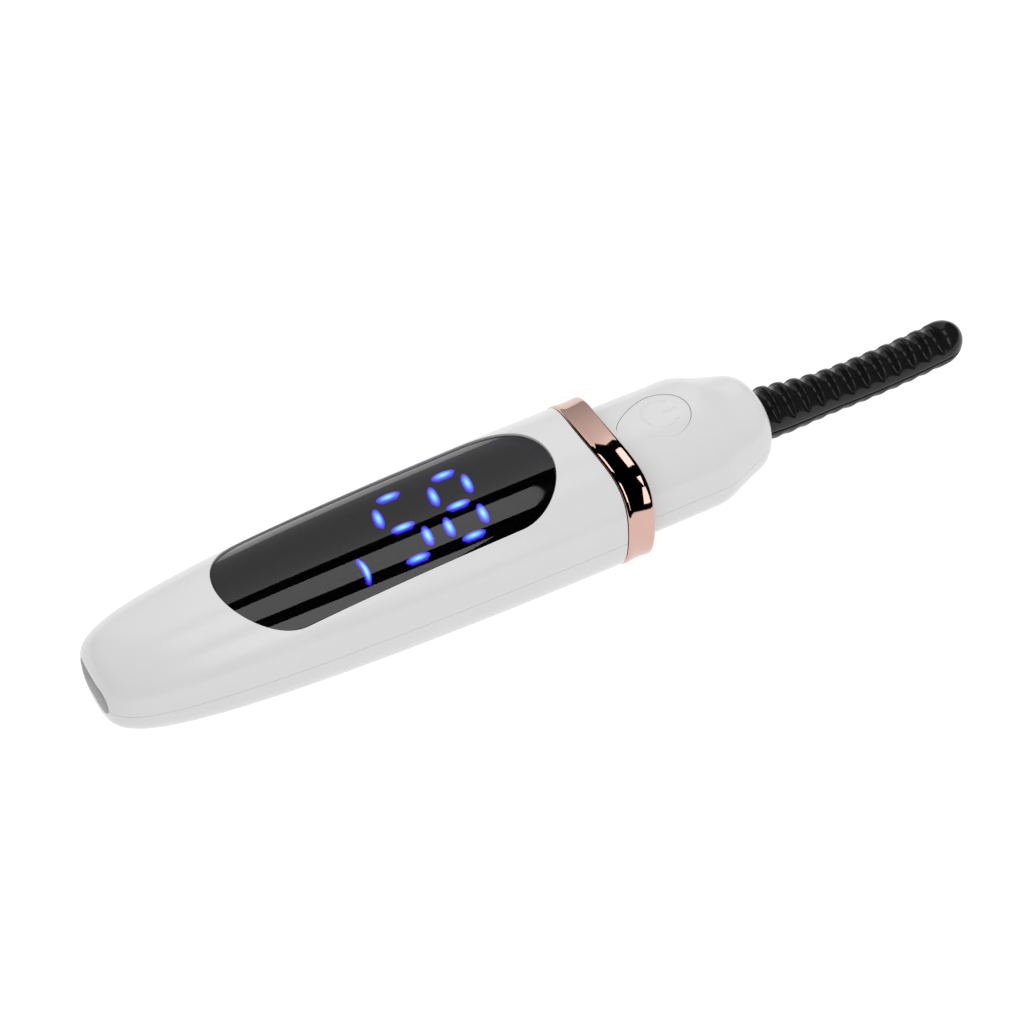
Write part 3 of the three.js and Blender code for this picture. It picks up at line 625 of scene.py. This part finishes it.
def tail_surface_x(surface, y, z):
    """Where the tail's surface lies along X, ahead of a point in Y and Z."""
    low, high = np.full(len(y), TAIL_X), np.full(len(y), TAIL_X + 20 * MM)
    for _ in range(40):
        middle = (low + high) / 2
        outside = surface.level(np.stack([middle, y, z], 1)) > 1
        low = np.where(outside, middle, low)
        high = np.where(outside, high, middle)
    return (low + high) / 2


def window_outline(grow):
    """The window in plan, grown all round from the middle of its gap."""
    gap = FIT_GAP / 2
    return pill_outline(WINDOW_LOW.x - gap - grow, WINDOW_HIGH.x + gap + grow, WINDOW_HIGH.y + gap + grow)


def make_upper_shell():
    """The upper shell, with a pocket and an opening for the window, and a hole for the button."""
    shell = casing("casing_upper")
    combine(shell, layer("above", AXIS_Z + PARTING_GAP / 2, FAR), "INTERSECT")
    surface = body_tube()
    pocket = plan_tool("pocket", window_outline(0.04 * MM), surface, hole_profile(0.06 * MM))
    combine(pocket, body_tube(WINDOW_INSET + WINDOW_THICKNESS + 0.3 * MM).solid("pocket_floor"))
    combine(shell, pocket)
    opening = window_outline(-WINDOW_LEDGE)
    combine(shell, plan_tool("opening", opening, surface, hole_profile(0.05 * MM)))
    neck = neck_tube()
    combine(shell, plan_tool("button_hole", egg_outline(-0.05 * MM), neck, hole_profile(0.05 * MM)))
    return polish(shell, [body_tube(), neck])


def make_lower_shell():
    """The lower shell, with two bosses for the board's screws."""
    shell = casing("casing_lower")
    combine(shell, layer("below", -FAR, AXIS_Z - PARTING_GAP / 2), "INTERSECT")
    limit = body_tube(0.5 * MM).solid("boss_limit")
    combine(limit, neck_tube(0.5 * MM).solid("boss_limit_neck"), "UNION")
    for screw in ("board_screw_1", "board_screw_2"):
        combine(shell, screw_boss(screw, limit), "UNION")
    bpy.data.objects.remove(limit)
    return polish(shell, [body_tube(), neck_tube()])


def screw_boss(screw, limit):
    """The boss under the board that takes one of its screws. The limit ends it inside the shell's wall."""
    low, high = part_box(screw)
    x = (low.x + high.x) / 2
    boss = rod("boss", x, BOSS_RADIUS, -MM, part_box("main_board")[0].z - FIT_GAP)
    combine(boss, limit, "INTERSECT", keep_tool=True)
    return combine(boss, rod("boss_hole", x, BOSS_HOLE_RADIUS, AXIS_Z - 5 * MM, AXIS_Z + 9 * MM))


def make_window():
    """The smoked lens: the handle's own curve, a little below its surface, with a rolled rim."""
    outside = body_tube(WINDOW_INSET)
    lens = outside.solid("smoked_window")
    combine(lens, body_tube(WINDOW_INSET + WINDOW_THICKNESS).solid("lens_inside"))
    plug = plan_tool("lens_plug", window_outline(-FIT_GAP / 2), outside, plug_profile(0.08 * MM))
    combine(lens, plug, "INTERSECT")
    return polish(lens, [outside])


def make_ring():
    """The plated trim: a band with rolled edges that follow a wave."""
    tail_roll, tip_roll, edge, hollow = 0.55 * MM, 0.35 * MM, 0.3 * MM, 0.1 * MM
    turns = np.radians([0, 15, 30, 45, 60, 75, 90])
    tail = [(tail_roll * (1 - math.cos(t)), -edge * (1 - math.sin(t))) for t in turns]
    tip = [(RING_WIDTH - tip_roll * (1 - math.sin(t)), -edge * (1 - math.cos(t))) for t in turns]
    share = np.linspace(0, 1, 9)[1:-1]
    length = RING_WIDTH - tail_roll - tip_roll
    middle = [(tail_roll + length * k, -hollow * 4 * k * (1 - k)) for k in share]
    rings = []
    bore = neck_tube().half_sizes(RING_TAIL_X)
    for angle in np.linspace(0, 2 * math.pi, 240, endpoint=False):
        s, c = float(round_off(math.sin(angle))), float(round_off(math.cos(angle)))
        shift = RING_TAIL_X + float(wave_at(angle))
        ring = [(shift + x, (RING_HALF_WIDTH + h) * s, AXIS_Z + (RING_HALF_HEIGHT + h) * c)
                for x, h in tail + middle + tip]
        for x in (RING_WIDTH, 0.0):
            ring.append((shift + x, (bore[0] + FIT_GAP) * s, AXIS_Z + (bore[1] + FIT_GAP) * c))
        rings.append([(x, y, max(z, 0.0)) for x, y, z in ring])
    obj = closed_loft("rose_gold_ring", rings)
    obj.data.set_sharp_from_angle(angle=math.radians(50))
    return obj


def groove_tool(name, path, surface, radius=0.4 * MM, lift=0.31 * MM):
    """A round bead that follows a plan path over a surface, for engraving a fine channel."""
    rings = []
    for i, (x, y) in enumerate(path):
        ahead = path[min(i + 1, len(path) - 1)] - path[max(i - 1, 0)]
        along = Vector((ahead[0], ahead[1], 0)).normalized()
        across = Vector((-along.y, along.x, 0))
        centre = Vector((x, y, float(surface.top(np.array([x]), np.array([y]))[0]) + lift))
        taper = 0.35 if i in (0, len(path) - 1) else 1.0
        rings.append([centre + radius * taper * (math.cos(t) * across + math.sin(t) * Vector((0, 0, 1)))
                      for t in np.linspace(0, 2 * math.pi, 16, endpoint=False)])
    return loft(name, rings)


def make_button():
    """The button: a cap in the neck's own curve, a flange below it, a stem and an engraved power symbol."""
    cap = neck_tube(BUTTON_SINK)
    flange_top = NECK_WALL + 0.25 * MM
    under = flange_top + BUTTON_FLANGE
    button = cap.solid("button_cap")
    plug = plan_tool("button_plug", egg_outline(-0.11 * MM), cap, plug_profile(0.06 * MM))
    combine(button, plug, "INTERSECT")
    flange = neck_tube(flange_top).solid("flange")
    skirt = plan_tool("skirt", egg_outline(BUTTON_FLANGE), cap, [(0, -TOOL_DEPTH), (0, TOOL_RISE)])
    combine(flange, skirt, "INTERSECT")
    combine(button, flange, "UNION")
    combine(button, neck_tube(under).solid("button_hollow"))
    plunger_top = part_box("switch_plunger")[1].z
    combine(button, rod("stem", BUTTON_X, STEM_RADIUS, plunger_top + 0.2 * MM, AXIS_Z + 6.5 * MM), "UNION")
    turns = np.linspace(SYMBOL_GAP, 2 * math.pi - SYMBOL_GAP, 64)
    circle = np.stack([BUTTON_X + SYMBOL_RADIUS * np.cos(turns), SYMBOL_RADIUS * np.sin(turns)], 1)
    combine(button, groove_tool("circle", circle, cap))
    stroke = np.stack([np.linspace(BUTTON_X, BUTTON_X + SYMBOL_RADIUS * 1.05, 10), np.zeros(10)], 1)
    combine(button, groove_tool("stroke", stroke, cap))
    return polish(button, [cap])


# ---------------------------------------------------------------- display
def digit_segments():
    """Centres of a digit's segments, from its own centre, and whether each is upright: top, middle, bottom,
    then the four uprights."""
    across = [(0.0, row * DIGIT_HEIGHT / 2, 0) for row in (1, 0, -1)]
    upright = [(side * DIGIT_WIDTH / 2, row * DIGIT_HEIGHT / 4, 1) for side in (-1, 1) for row in (1, -1)]
    return across + upright


def lozenge_ring(x, y, turned, cx, scale, z, corners=40):
    """A rounded pointed bar, leaning with the digit, shrunk towards its centre by scale."""
    angle = np.linspace(0, 2 * math.pi, corners, endpoint=False)
    u = SEGMENT_LENGTH / 2 * scale * round_off(np.cos(angle), 1.9)
    v = SEGMENT_WIDTH / 2 * scale * round_off(np.sin(angle), 2.4)
    dx, dy = (-v, u) if turned else (u, v)
    px = cx + x + dx + (y + dy) * DIGIT_SLANT
    return np.stack([px, y + dy, np.full(corners, z)], 1)


def streak_ring(scale, z, corners=48):
    """The icon's bowed stroke, shrunk towards its middle line by scale."""
    angle = np.linspace(0, 2 * math.pi, corners, endpoint=False)
    sweep = ICON_MIDDLE + ICON_REACH * (0.25 + 0.75 * scale) * round_off(np.cos(angle))
    reach = ICON_BOW + ICON_HALF_WIDTH * scale * round_off(np.sin(angle))
    x = ICON_X - ICON_BOW + reach * np.cos(sweep)
    return np.stack([x, ICON_Y + reach * np.sin(sweep), np.full(corners, z)], 1)


def raised_light(ring_at, base_z, top_z):
    """Rings of one raised light path, a wall and then a slightly domed top, with how central each ring is."""
    dome = 0.05 * MM
    rings = [ring_at(1.0, base_z), ring_at(1.0, top_z - dome)]
    glow = [0.0, 0.0]
    for k in range(1, 9):
        scale = 1 - k / 8.5
        rings.append(ring_at(scale, top_z - dome * scale ** 2))
        glow.append(1 - scale)
    return rings, glow


def make_guide(name, node, shapes):
    """A diffuser plate with its segments. shapes holds a ring function and whether it is lit, for each."""
    low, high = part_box(node)
    plate = block(name, low, (high.x, high.y, low.z + 0.3 * MM))
    bm = bmesh.new()
    bm.from_mesh(plate.data)
    bmesh.ops.bevel(bm, geom=bm.edges, offset=0.05 * MM, segments=2, affect="EDGES")
    glow_layer = bm.verts.layers.float.new("glow")
    for ring_at, lit in shapes:
        rings, glow = raised_light(ring_at, low.z + 0.2 * MM, high.z)
        rows = []
        for ring, value in zip(rings, glow):
            row = [bm.verts.new(p) for p in ring]
            for vertex in row:
                vertex[glow_layer] = value
            rows.append(row)
        tip = bm.verts.new(np.mean(rings[-1], 0))
        tip[glow_layer] = 1.0
        count = len(rows[0])
        faces = [bm.faces.new(rows[0][::-1])]
        for i in range(count):
            j = (i + 1) % count
            faces += [bm.faces.new((a[i], a[j], b[j], b[i])) for a, b in zip(rows, rows[1:])]
            faces.append(bm.faces.new((rows[-1][i], rows[-1][j], tip)))
        for face in faces:
            face.material_index = 1 if lit else 2
            face.smooth = True
    bm.to_mesh(plate.data)
    bm.free()
    return plate


def digit_shapes(node, digit):
    """The seven segments of one digit, for make_guide."""
    low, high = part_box(node)
    cx = (low.x + high.x) / 2
    shapes = []
    for i, (x, y, turned) in enumerate(digit_segments()):
        def ring_at(scale, z, x=x, y=y, turned=turned):
            return lozenge_ring(x, y, turned, cx, scale, z)
        shapes.append((ring_at, i in LIT[digit]))
    return shapes


# ---------------------------------------------------------------- material helpers
class Finish:
    """A node material with a principled shader, and short ways to add to it."""

    def __init__(self, name, color, roughness, metallic=0.0, **sockets):
        self.material = bpy.data.materials.new(name)
        self.material.use_nodes = True
        self.tree = self.material.node_tree
        self.shader = self.tree.nodes["Principled BSDF"]
        self.set("Base Color", (*color, 1.0))
        self.set("Roughness", roughness)
        self.set("Metallic", metallic)
        for socket, value in sockets.items():
            self.set(socket.replace("_", " ").title().replace("Ior", "IOR"), value)
        self.color = color
        self.color_output = None
        self.height = None

    def set(self, socket, value):
        self.shader.inputs[socket].default_value = value

    def node(self, kind, **values):
        node = self.tree.nodes.new(kind)
        for key, value in values.items():
            if key in node.inputs:
                node.inputs[key].default_value = value
            else:
                setattr(node, key, value)
        return node

    def link(self, source, target):
        self.tree.links.new(source, target)

    def coordinates(self):
        return self.node("ShaderNodeTexCoord").outputs["Object"]

    def noise(self, scale, detail=3.0, stretch=(1, 1, 1), distortion=0.0):
        mapping = self.node("ShaderNodeMapping")
        mapping.inputs["Scale"].default_value = stretch
        self.link(self.coordinates(), mapping.inputs["Vector"])
        texture = self.node("ShaderNodeTexNoise", Scale=scale, Detail=detail, Distortion=distortion)
        self.link(mapping.outputs["Vector"], texture.inputs["Vector"])
        return texture.outputs["Fac"]

    def ramp(self, factor, low, high, start=0.3, end=0.7):
        """A value from low to high as the factor goes from start to end."""
        ramp = self.node("ShaderNodeMapRange")
        for socket, value in (("From Min", start), ("From Max", end), ("To Min", low), ("To Max", high)):
            ramp.inputs[socket].default_value = value
        self.link(factor, ramp.inputs["Value"])
        return ramp.outputs["Result"]

    def vary_roughness(self, scale, low, high, **options):
        self.link(self.ramp(self.noise(scale, **options), low, high), self.shader.inputs["Roughness"])
        return self

    def mix_color(self, other, factor):
        """Lays another colour over the one so far."""
        mix = self.node("ShaderNodeMix", data_type="RGBA")
        mix.inputs["A"].default_value = (*self.color, 1.0)
        mix.inputs["B"].default_value = (*other, 1.0)
        if self.color_output is not None:
            self.link(self.color_output, mix.inputs["A"])
        self.link(factor, mix.inputs["Factor"])
        self.color_output = mix.outputs["Result"]
        self.link(self.color_output, self.shader.inputs["Base Color"])
        return self

    def vary_color(self, scale, other, **options):
        return self.mix_color(other, self.ramp(self.noise(scale, **options), 0.0, 1.0))

    def bump(self, scale, distance, strength=1.0, **options):
        bump = self.node("ShaderNodeBump", Strength=strength, Distance=distance)
        self.link(self.noise(scale, **options), bump.inputs["Height"])
        if self.height is not None:
            self.link(self.height, bump.inputs["Normal"])
        self.height = bump.outputs["Normal"]
        self.link(self.height, self.shader.inputs["Normal"])
        return self

    def painted_edge_highlight(self, other, radius, amount):
        """Painted highlight along edges: they turn towards another, lighter colour where a rounded normal
        leaves the true one.
        """
        bevel = self.node("ShaderNodeBevel", samples=4, Radius=radius)
        geometry = self.node("ShaderNodeNewGeometry")
        dot = self.node("ShaderNodeVectorMath", operation="DOT_PRODUCT")
        self.link(bevel.outputs["Normal"], dot.inputs[0])
        self.link(geometry.outputs["Normal"], dot.inputs[1])
        return self.mix_color(other, self.ramp(dot.outputs["Value"], 0.0, amount, start=1.0, end=0.9))


# ---------------------------------------------------------------- materials
def white_abs():
    """Glossy white moulding: a faint orange peel, slow changes of gloss, and a painted highlight that makes
    the edges a little brighter.
    """
    finish = Finish("white_abs", (0.6, 0.6, 0.6), 0.22, ior=1.5)
    finish.vary_color(90, (0.585, 0.585, 0.585))
    finish.vary_roughness(260, 0.19, 0.27)
    finish.bump(900, 0.002 * MM, 0.35)
    finish.bump(45, 0.02 * MM, 0.25)
    # painted highlight: the edges turn a lighter white
    return finish.painted_edge_highlight((0.69, 0.69, 0.69), 0.15 * MM, 0.5)


def smoked_acrylic():
    finish = Finish("smoked_acrylic", (0.03, 0.03, 0.032), 0.02, ior=1.5, transmission_weight=1.0)
    finish.vary_roughness(500, 0.01, 0.035)
    return finish.bump(60, 0.004 * MM, 0.3)


def rose_gold_plating():
    finish = Finish("rose_gold_plating", (0.64, 0.42, 0.36), 0.05, 1.0)
    finish.vary_color(220, (0.66, 0.44, 0.38))
    finish.vary_roughness(700, 0.03, 0.07)
    finish.bump(120, 0.006 * MM, 0.3)
    # painted highlight: the edges turn a lighter rose
    return finish.painted_edge_highlight((0.8, 0.6, 0.54), 0.12 * MM, 0.6)


def comb_ceramic():
    finish = Finish("comb_ceramic", (0.006, 0.006, 0.006), 0.18, ior=1.36)
    finish.vary_color(300, (0.009, 0.009, 0.009))
    finish.vary_roughness(900, 0.14, 0.22)
    finish.bump(4200, 0.002 * MM, 0.4)
    # painted highlight: the edges, the rib crests among them, turn a lighter grey
    return finish.painted_edge_highlight((0.05, 0.05, 0.052), 0.1 * MM, 0.6)


def comb_black_plastic():
    finish = Finish("comb_black_plastic", (0.008, 0.008, 0.008), 0.3, ior=1.25)
    finish.set("Specular IOR Level", 0.3)
    finish.vary_roughness(700, 0.25, 0.38)
    finish.bump(3500, 0.0015 * MM, 0.35)
    # painted highlight: the edges turn a lighter grey
    return finish.painted_edge_highlight((0.04, 0.04, 0.042), 0.1 * MM, 0.5)


def black_plastic():
    finish = Finish("black_plastic", (0.012, 0.012, 0.013), 0.55)
    finish.vary_color(400, (0.017, 0.017, 0.018))
    finish.vary_roughness(1500, 0.45, 0.65)
    return finish.bump(3000, 0.006 * MM, 0.5)


def black_foam():
    finish = Finish("black_foam", (0.018, 0.018, 0.018), 0.9)
    finish.vary_color(2500, (0.035, 0.035, 0.035))
    return finish.bump(3500, 0.05 * MM, 0.8)


def chip_epoxy():
    finish = Finish("chip_epoxy", (0.022, 0.022, 0.024), 0.5)
    finish.vary_roughness(2500, 0.4, 0.6)
    return finish.bump(5000, 0.004 * MM, 0.5)


def light_guide():
    finish = Finish("light_guide", (0.75, 0.77, 0.82), 0.4, subsurface_weight=0.2)
    finish.vary_color(900, (0.68, 0.7, 0.76))
    return finish.bump(2500, 0.003 * MM, 0.4)


def plated_steel():
    finish = Finish("plated_steel", (0.58, 0.58, 0.6), 0.3, 1.0)
    finish.vary_color(300, (0.5, 0.5, 0.52))
    finish.vary_roughness(900, 0.22, 0.4, stretch=(1, 8, 1))
    finish.bump(1500, 0.003 * MM, 0.4, stretch=(1, 10, 1))
    # painted highlight: the edges turn a lighter steel grey
    return finish.painted_edge_highlight((0.75, 0.75, 0.77), 0.1 * MM, 0.6)


def circuit_laminate():
    """Green solder mask over faint traces."""
    finish = Finish("circuit_laminate", (0.012, 0.11, 0.05), 0.3)
    finish.vary_color(900, (0.02, 0.16, 0.075), detail=1.0, stretch=(1, 3, 1))
    finish.vary_roughness(1500, 0.25, 0.4)
    return finish.bump(700, 0.02 * MM, 0.4, detail=1.0)


def copper():
    finish = Finish("copper", (0.75, 0.33, 0.16), 0.32, 1.0)
    finish.vary_color(500, (0.62, 0.24, 0.11))
    finish.vary_roughness(900, 0.25, 0.42)
    return finish.bump(2500, 0.006 * MM, 0.5, stretch=(1, 1, 6))


def tantalum_case():
    finish = Finish("tantalum_case", (0.6, 0.3, 0.06), 0.45)
    finish.vary_color(900, (0.52, 0.25, 0.05))
    return finish.bump(3000, 0.004 * MM, 0.5)


def cell_foil():
    finish = Finish("cell_foil", (0.6, 0.61, 0.64), 0.35, 1.0)
    finish.vary_roughness(400, 0.28, 0.45)
    return finish.bump(220, 0.06 * MM, 0.6, distortion=0.6)


def aluminium_bar():
    finish = Finish("aluminium_bar", (0.62, 0.63, 0.65), 0.38, 1.0)
    finish.vary_roughness(900, 0.3, 0.48, stretch=(1, 12, 1))
    return finish.bump(1800, 0.004 * MM, 0.5, stretch=(1, 14, 1))


def heater_polyimide():
    finish = Finish("heater_polyimide", (0.45, 0.17, 0.03), 0.25)
    finish.vary_color(800, (0.55, 0.24, 0.05), stretch=(1, 4, 1))
    return finish.bump(700, 0.02 * MM, 0.4, stretch=(1, 5, 1))


def insulation(name, color):
    finish = Finish(name, color, 0.5)
    finish.vary_color(900, tuple(c * 0.8 for c in color))
    finish.vary_roughness(1500, 0.4, 0.6)
    return finish.bump(2500, 0.006 * MM, 0.5)


def lit_segment():
    """A lit segment: violet-blue at its rim, pale blue at its middle."""
    finish = Finish("lit_segment", (0.02, 0.02, 0.05), 0.5)
    glow = finish.node("ShaderNodeAttribute", attribute_name="glow")
    ramp = finish.node("ShaderNodeValToRGB")
    stops = ramp.color_ramp.elements
    stops[0].color = (0.06, 0.01, 0.6, 1)
    stops[1].color = (0.32, 0.75, 1.0, 1)
    stops.new(0.2).color = (0.06, 0.08, 1.0, 1)
    stops.new(0.5).color = (0.12, 0.36, 1.0, 1)
    finish.link(glow.outputs["Fac"], ramp.inputs["Fac"])
    finish.link(ramp.outputs["Color"], finish.shader.inputs["Emission Color"])
    finish.set("Emission Strength", 48.0)
    return finish.bump(2500, 0.003 * MM, 0.3)


def unlit_segment():
    finish = Finish("unlit_segment", (0.03, 0.03, 0.035), 0.5)
    finish.vary_roughness(1500, 0.4, 0.6)
    return finish.bump(2500, 0.003 * MM, 0.3)


MAKERS = {
    "white_abs": white_abs, "smoked_acrylic": smoked_acrylic, "black_foam": black_foam,
    "rose_gold_plating": rose_gold_plating, "comb_ceramic": comb_ceramic,
    "comb_black_plastic": comb_black_plastic, "black_plastic": black_plastic, "chip_epoxy": chip_epoxy,
    "light_guide": light_guide, "plated_steel": plated_steel, "circuit_laminate": circuit_laminate,
    "copper": copper, "tantalum_case": tantalum_case, "cell_foil": cell_foil,
    "aluminium_bar": aluminium_bar, "heater_polyimide": heater_polyimide,
    "red_insulation": lambda: insulation("red_insulation", (0.45, 0.015, 0.012)),
    "black_insulation": lambda: insulation("black_insulation", (0.015, 0.015, 0.015)),
    "white_insulation": lambda: insulation("white_insulation", (0.72, 0.71, 0.68)),
}
MATERIALS = {slot: make().material for slot, make in MAKERS.items()}


# ---------------------------------------------------------------- assembly
def paint(obj, *materials):
    """Gives obj these materials alone. Clearing also resets its faces, so an unpainted mesh isn't cleared."""
    if len(obj.data.materials):
        obj.data.materials.clear()
    for material in materials:
        obj.data.materials.append(material)


def fit(piece, node, slot, body="handle"):
    """piece stands for a CAD node, in that node's finish, and rides on its body."""
    if not any(piece.data.materials):
        paint(piece, MATERIALS[slot])
    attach(piece, body)
    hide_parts(node)
    return piece


def finish_cad_nodes():
    """CAD nodes that stay get their slot's material and softened edges."""
    for part in frame["record"]["subparts"]:
        obj = frame["nodes"][part["node"]]
        if obj.hide_render:
            continue
        paint(obj, MATERIALS[part["material_slot"]])
        for polygon in obj.data.polygons:
            polygon.use_smooth = True
        obj.data.set_sharp_from_angle(angle=math.radians(32))


def assemble():
    fit(make_upper_shell(), "upper_shell", "white_abs")
    fit(make_lower_shell(), "lower_shell", "white_abs")
    fit(make_window(), "display_window", "smoked_acrylic")
    fit(make_ring(), "trim_ring", "rose_gold_plating")
    fit(make_button(), "power_button", "white_abs", "button")
    fit(comb_half("ribbed_comb", 1, ribbed_rings()), "comb_cover", "comb_ceramic")
    fit(comb_half("comb_back", -1, scalloped_rings()), "comb_base", "comb_black_plastic")
    lights = (MATERIALS["light_guide"], lit_segment().material, unlit_segment().material)
    for name, node, shapes in (
            ("tens_diffuser", "digit_guide_tens", digit_shapes("digit_guide_tens", 5)),
            ("units_diffuser", "digit_guide_units", digit_shapes("digit_guide_units", 8)),
            ("icon_diffuser", "icon_guide", [(streak_ring, True)])):
        guide = make_guide(name, node, shapes)
        paint(guide, *lights)
        fit(guide, node, "light_guide")
    finish_cad_nodes()


# ---------------------------------------------------------------- stage, light and camera
def make_floor():
    """A pale floor that glows evenly under the object and dims far away from it."""
    points = [(-3, -3, 0), (3, -3, 0), (3, 3, 0), (-3, 3, 0)]
    floor = mesh_object("floor", points, [(0, 1, 2, 3)])
    floor.location.z = -0.02 * MM
    finish = Finish("floor", (0.06, 0.06, 0.06), 0.8)
    finish.vary_color(4, (0.07, 0.07, 0.07))
    finish.set("Emission Color", (1, 1, 1, 1))
    reach = finish.node("ShaderNodeVectorMath", operation="LENGTH")
    finish.link(finish.coordinates(), reach.inputs[0])
    glow = finish.ramp(reach.outputs["Value"], 1.0, 0.8, start=0.2, end=0.8)
    finish.link(glow, finish.shader.inputs["Emission Strength"])
    floor.data.materials.append(finish.material)


def make_light(name, place, aim, size, radiance, fade=False):
    """A soft panel of a given brightness; fade dims it towards its lower edge."""
    data = bpy.data.lights.new(name, "AREA")
    data.shape = "RECTANGLE"
    data.size, data.size_y = size
    data.energy = radiance * math.pi * size[0] * size[1]
    light = bpy.data.objects.new(name, data)
    light.location = place
    light.rotation_mode = "QUATERNION"
    light.rotation_quaternion = (Vector(aim) - Vector(place)).to_track_quat("-Z", "Y")
    if fade:
        add_fade(data)
    bpy.context.scene.collection.objects.link(light)


def add_fade(data):
    """Dims a light panel towards its lower edge."""
    data.use_nodes = True
    tree = data.node_tree
    parts = tree.nodes.new("ShaderNodeSeparateXYZ")
    tree.links.new(tree.nodes.new("ShaderNodeNewGeometry").outputs["Parametric"], parts.inputs["Vector"])
    level = tree.nodes.new("ShaderNodeMapRange")
    level.inputs["To Min"].default_value = 0.35
    level.inputs["To Max"].default_value = 1.0
    tree.links.new(parts.outputs["Y"], level.inputs["Value"])
    tree.links.new(level.outputs["Result"], tree.nodes["Emission"].inputs["Strength"])


def make_lights():
    """A white world that gloss doesn't reflect, and four panels that it does."""
    world = bpy.data.worlds.new("studio")
    world.use_nodes = True
    world.node_tree.nodes["Background"].inputs["Color"].default_value = (1, 1, 1, 1)
    world.node_tree.nodes["Background"].inputs["Strength"].default_value = 0.88
    world.cycles_visibility.glossy = False
    bpy.context.scene.world = world
    # The bands in the window and on the ring.
    make_light("overhead", (0.05, -0.04, 0.6), (0.05, -0.04, 0), (0.3, 0.28), 1.9)
    make_light("near_overhead", (0.05, -0.8, 0.6), (0.05, -0.8, 0), (0.3, 0.8), 2.3)
    # A narrow gleam along the near side.
    make_light("near_side", (0.26, -1.0, 0.5), (0.26, 0, 0.5), (0.16, 0.6), 1.8)
    # The wide sheen on whatever faces away from the camera.
    make_light("backdrop", (0.3, 0.8, 1.0), (0.3, 0, 1.0), (1.2, 2.0), 1.25, fade=True)


def make_camera():
    """A camera that looks down on the handle from its near side and tail."""
    azimuth, elevation, distance = math.radians(-29.40), math.radians(46.69), 346.25 * MM
    target = Vector((-6.3 * MM, 0.6 * MM, AXIS_Z))
    back = Vector((math.sin(azimuth) * math.cos(elevation), -math.cos(azimuth) * math.cos(elevation),
                   math.sin(elevation)))
    data = bpy.data.cameras.new("camera")
    data.sensor_width = 36.0
    data.lens = 89.33
    data.clip_start, data.clip_end = 0.01, 20
    camera = bpy.data.objects.new("camera", data)
    camera.location = target + back * distance
    camera.rotation_mode = "QUATERNION"
    camera.rotation_quaternion = (-back).to_track_quat("-Z", "Y")
    bpy.context.scene.collection.objects.link(camera)
    bpy.context.scene.camera = camera


bpy.context.scene.view_settings.view_transform = "Standard"
make_camera()
assemble()
make_floor()
make_lights()
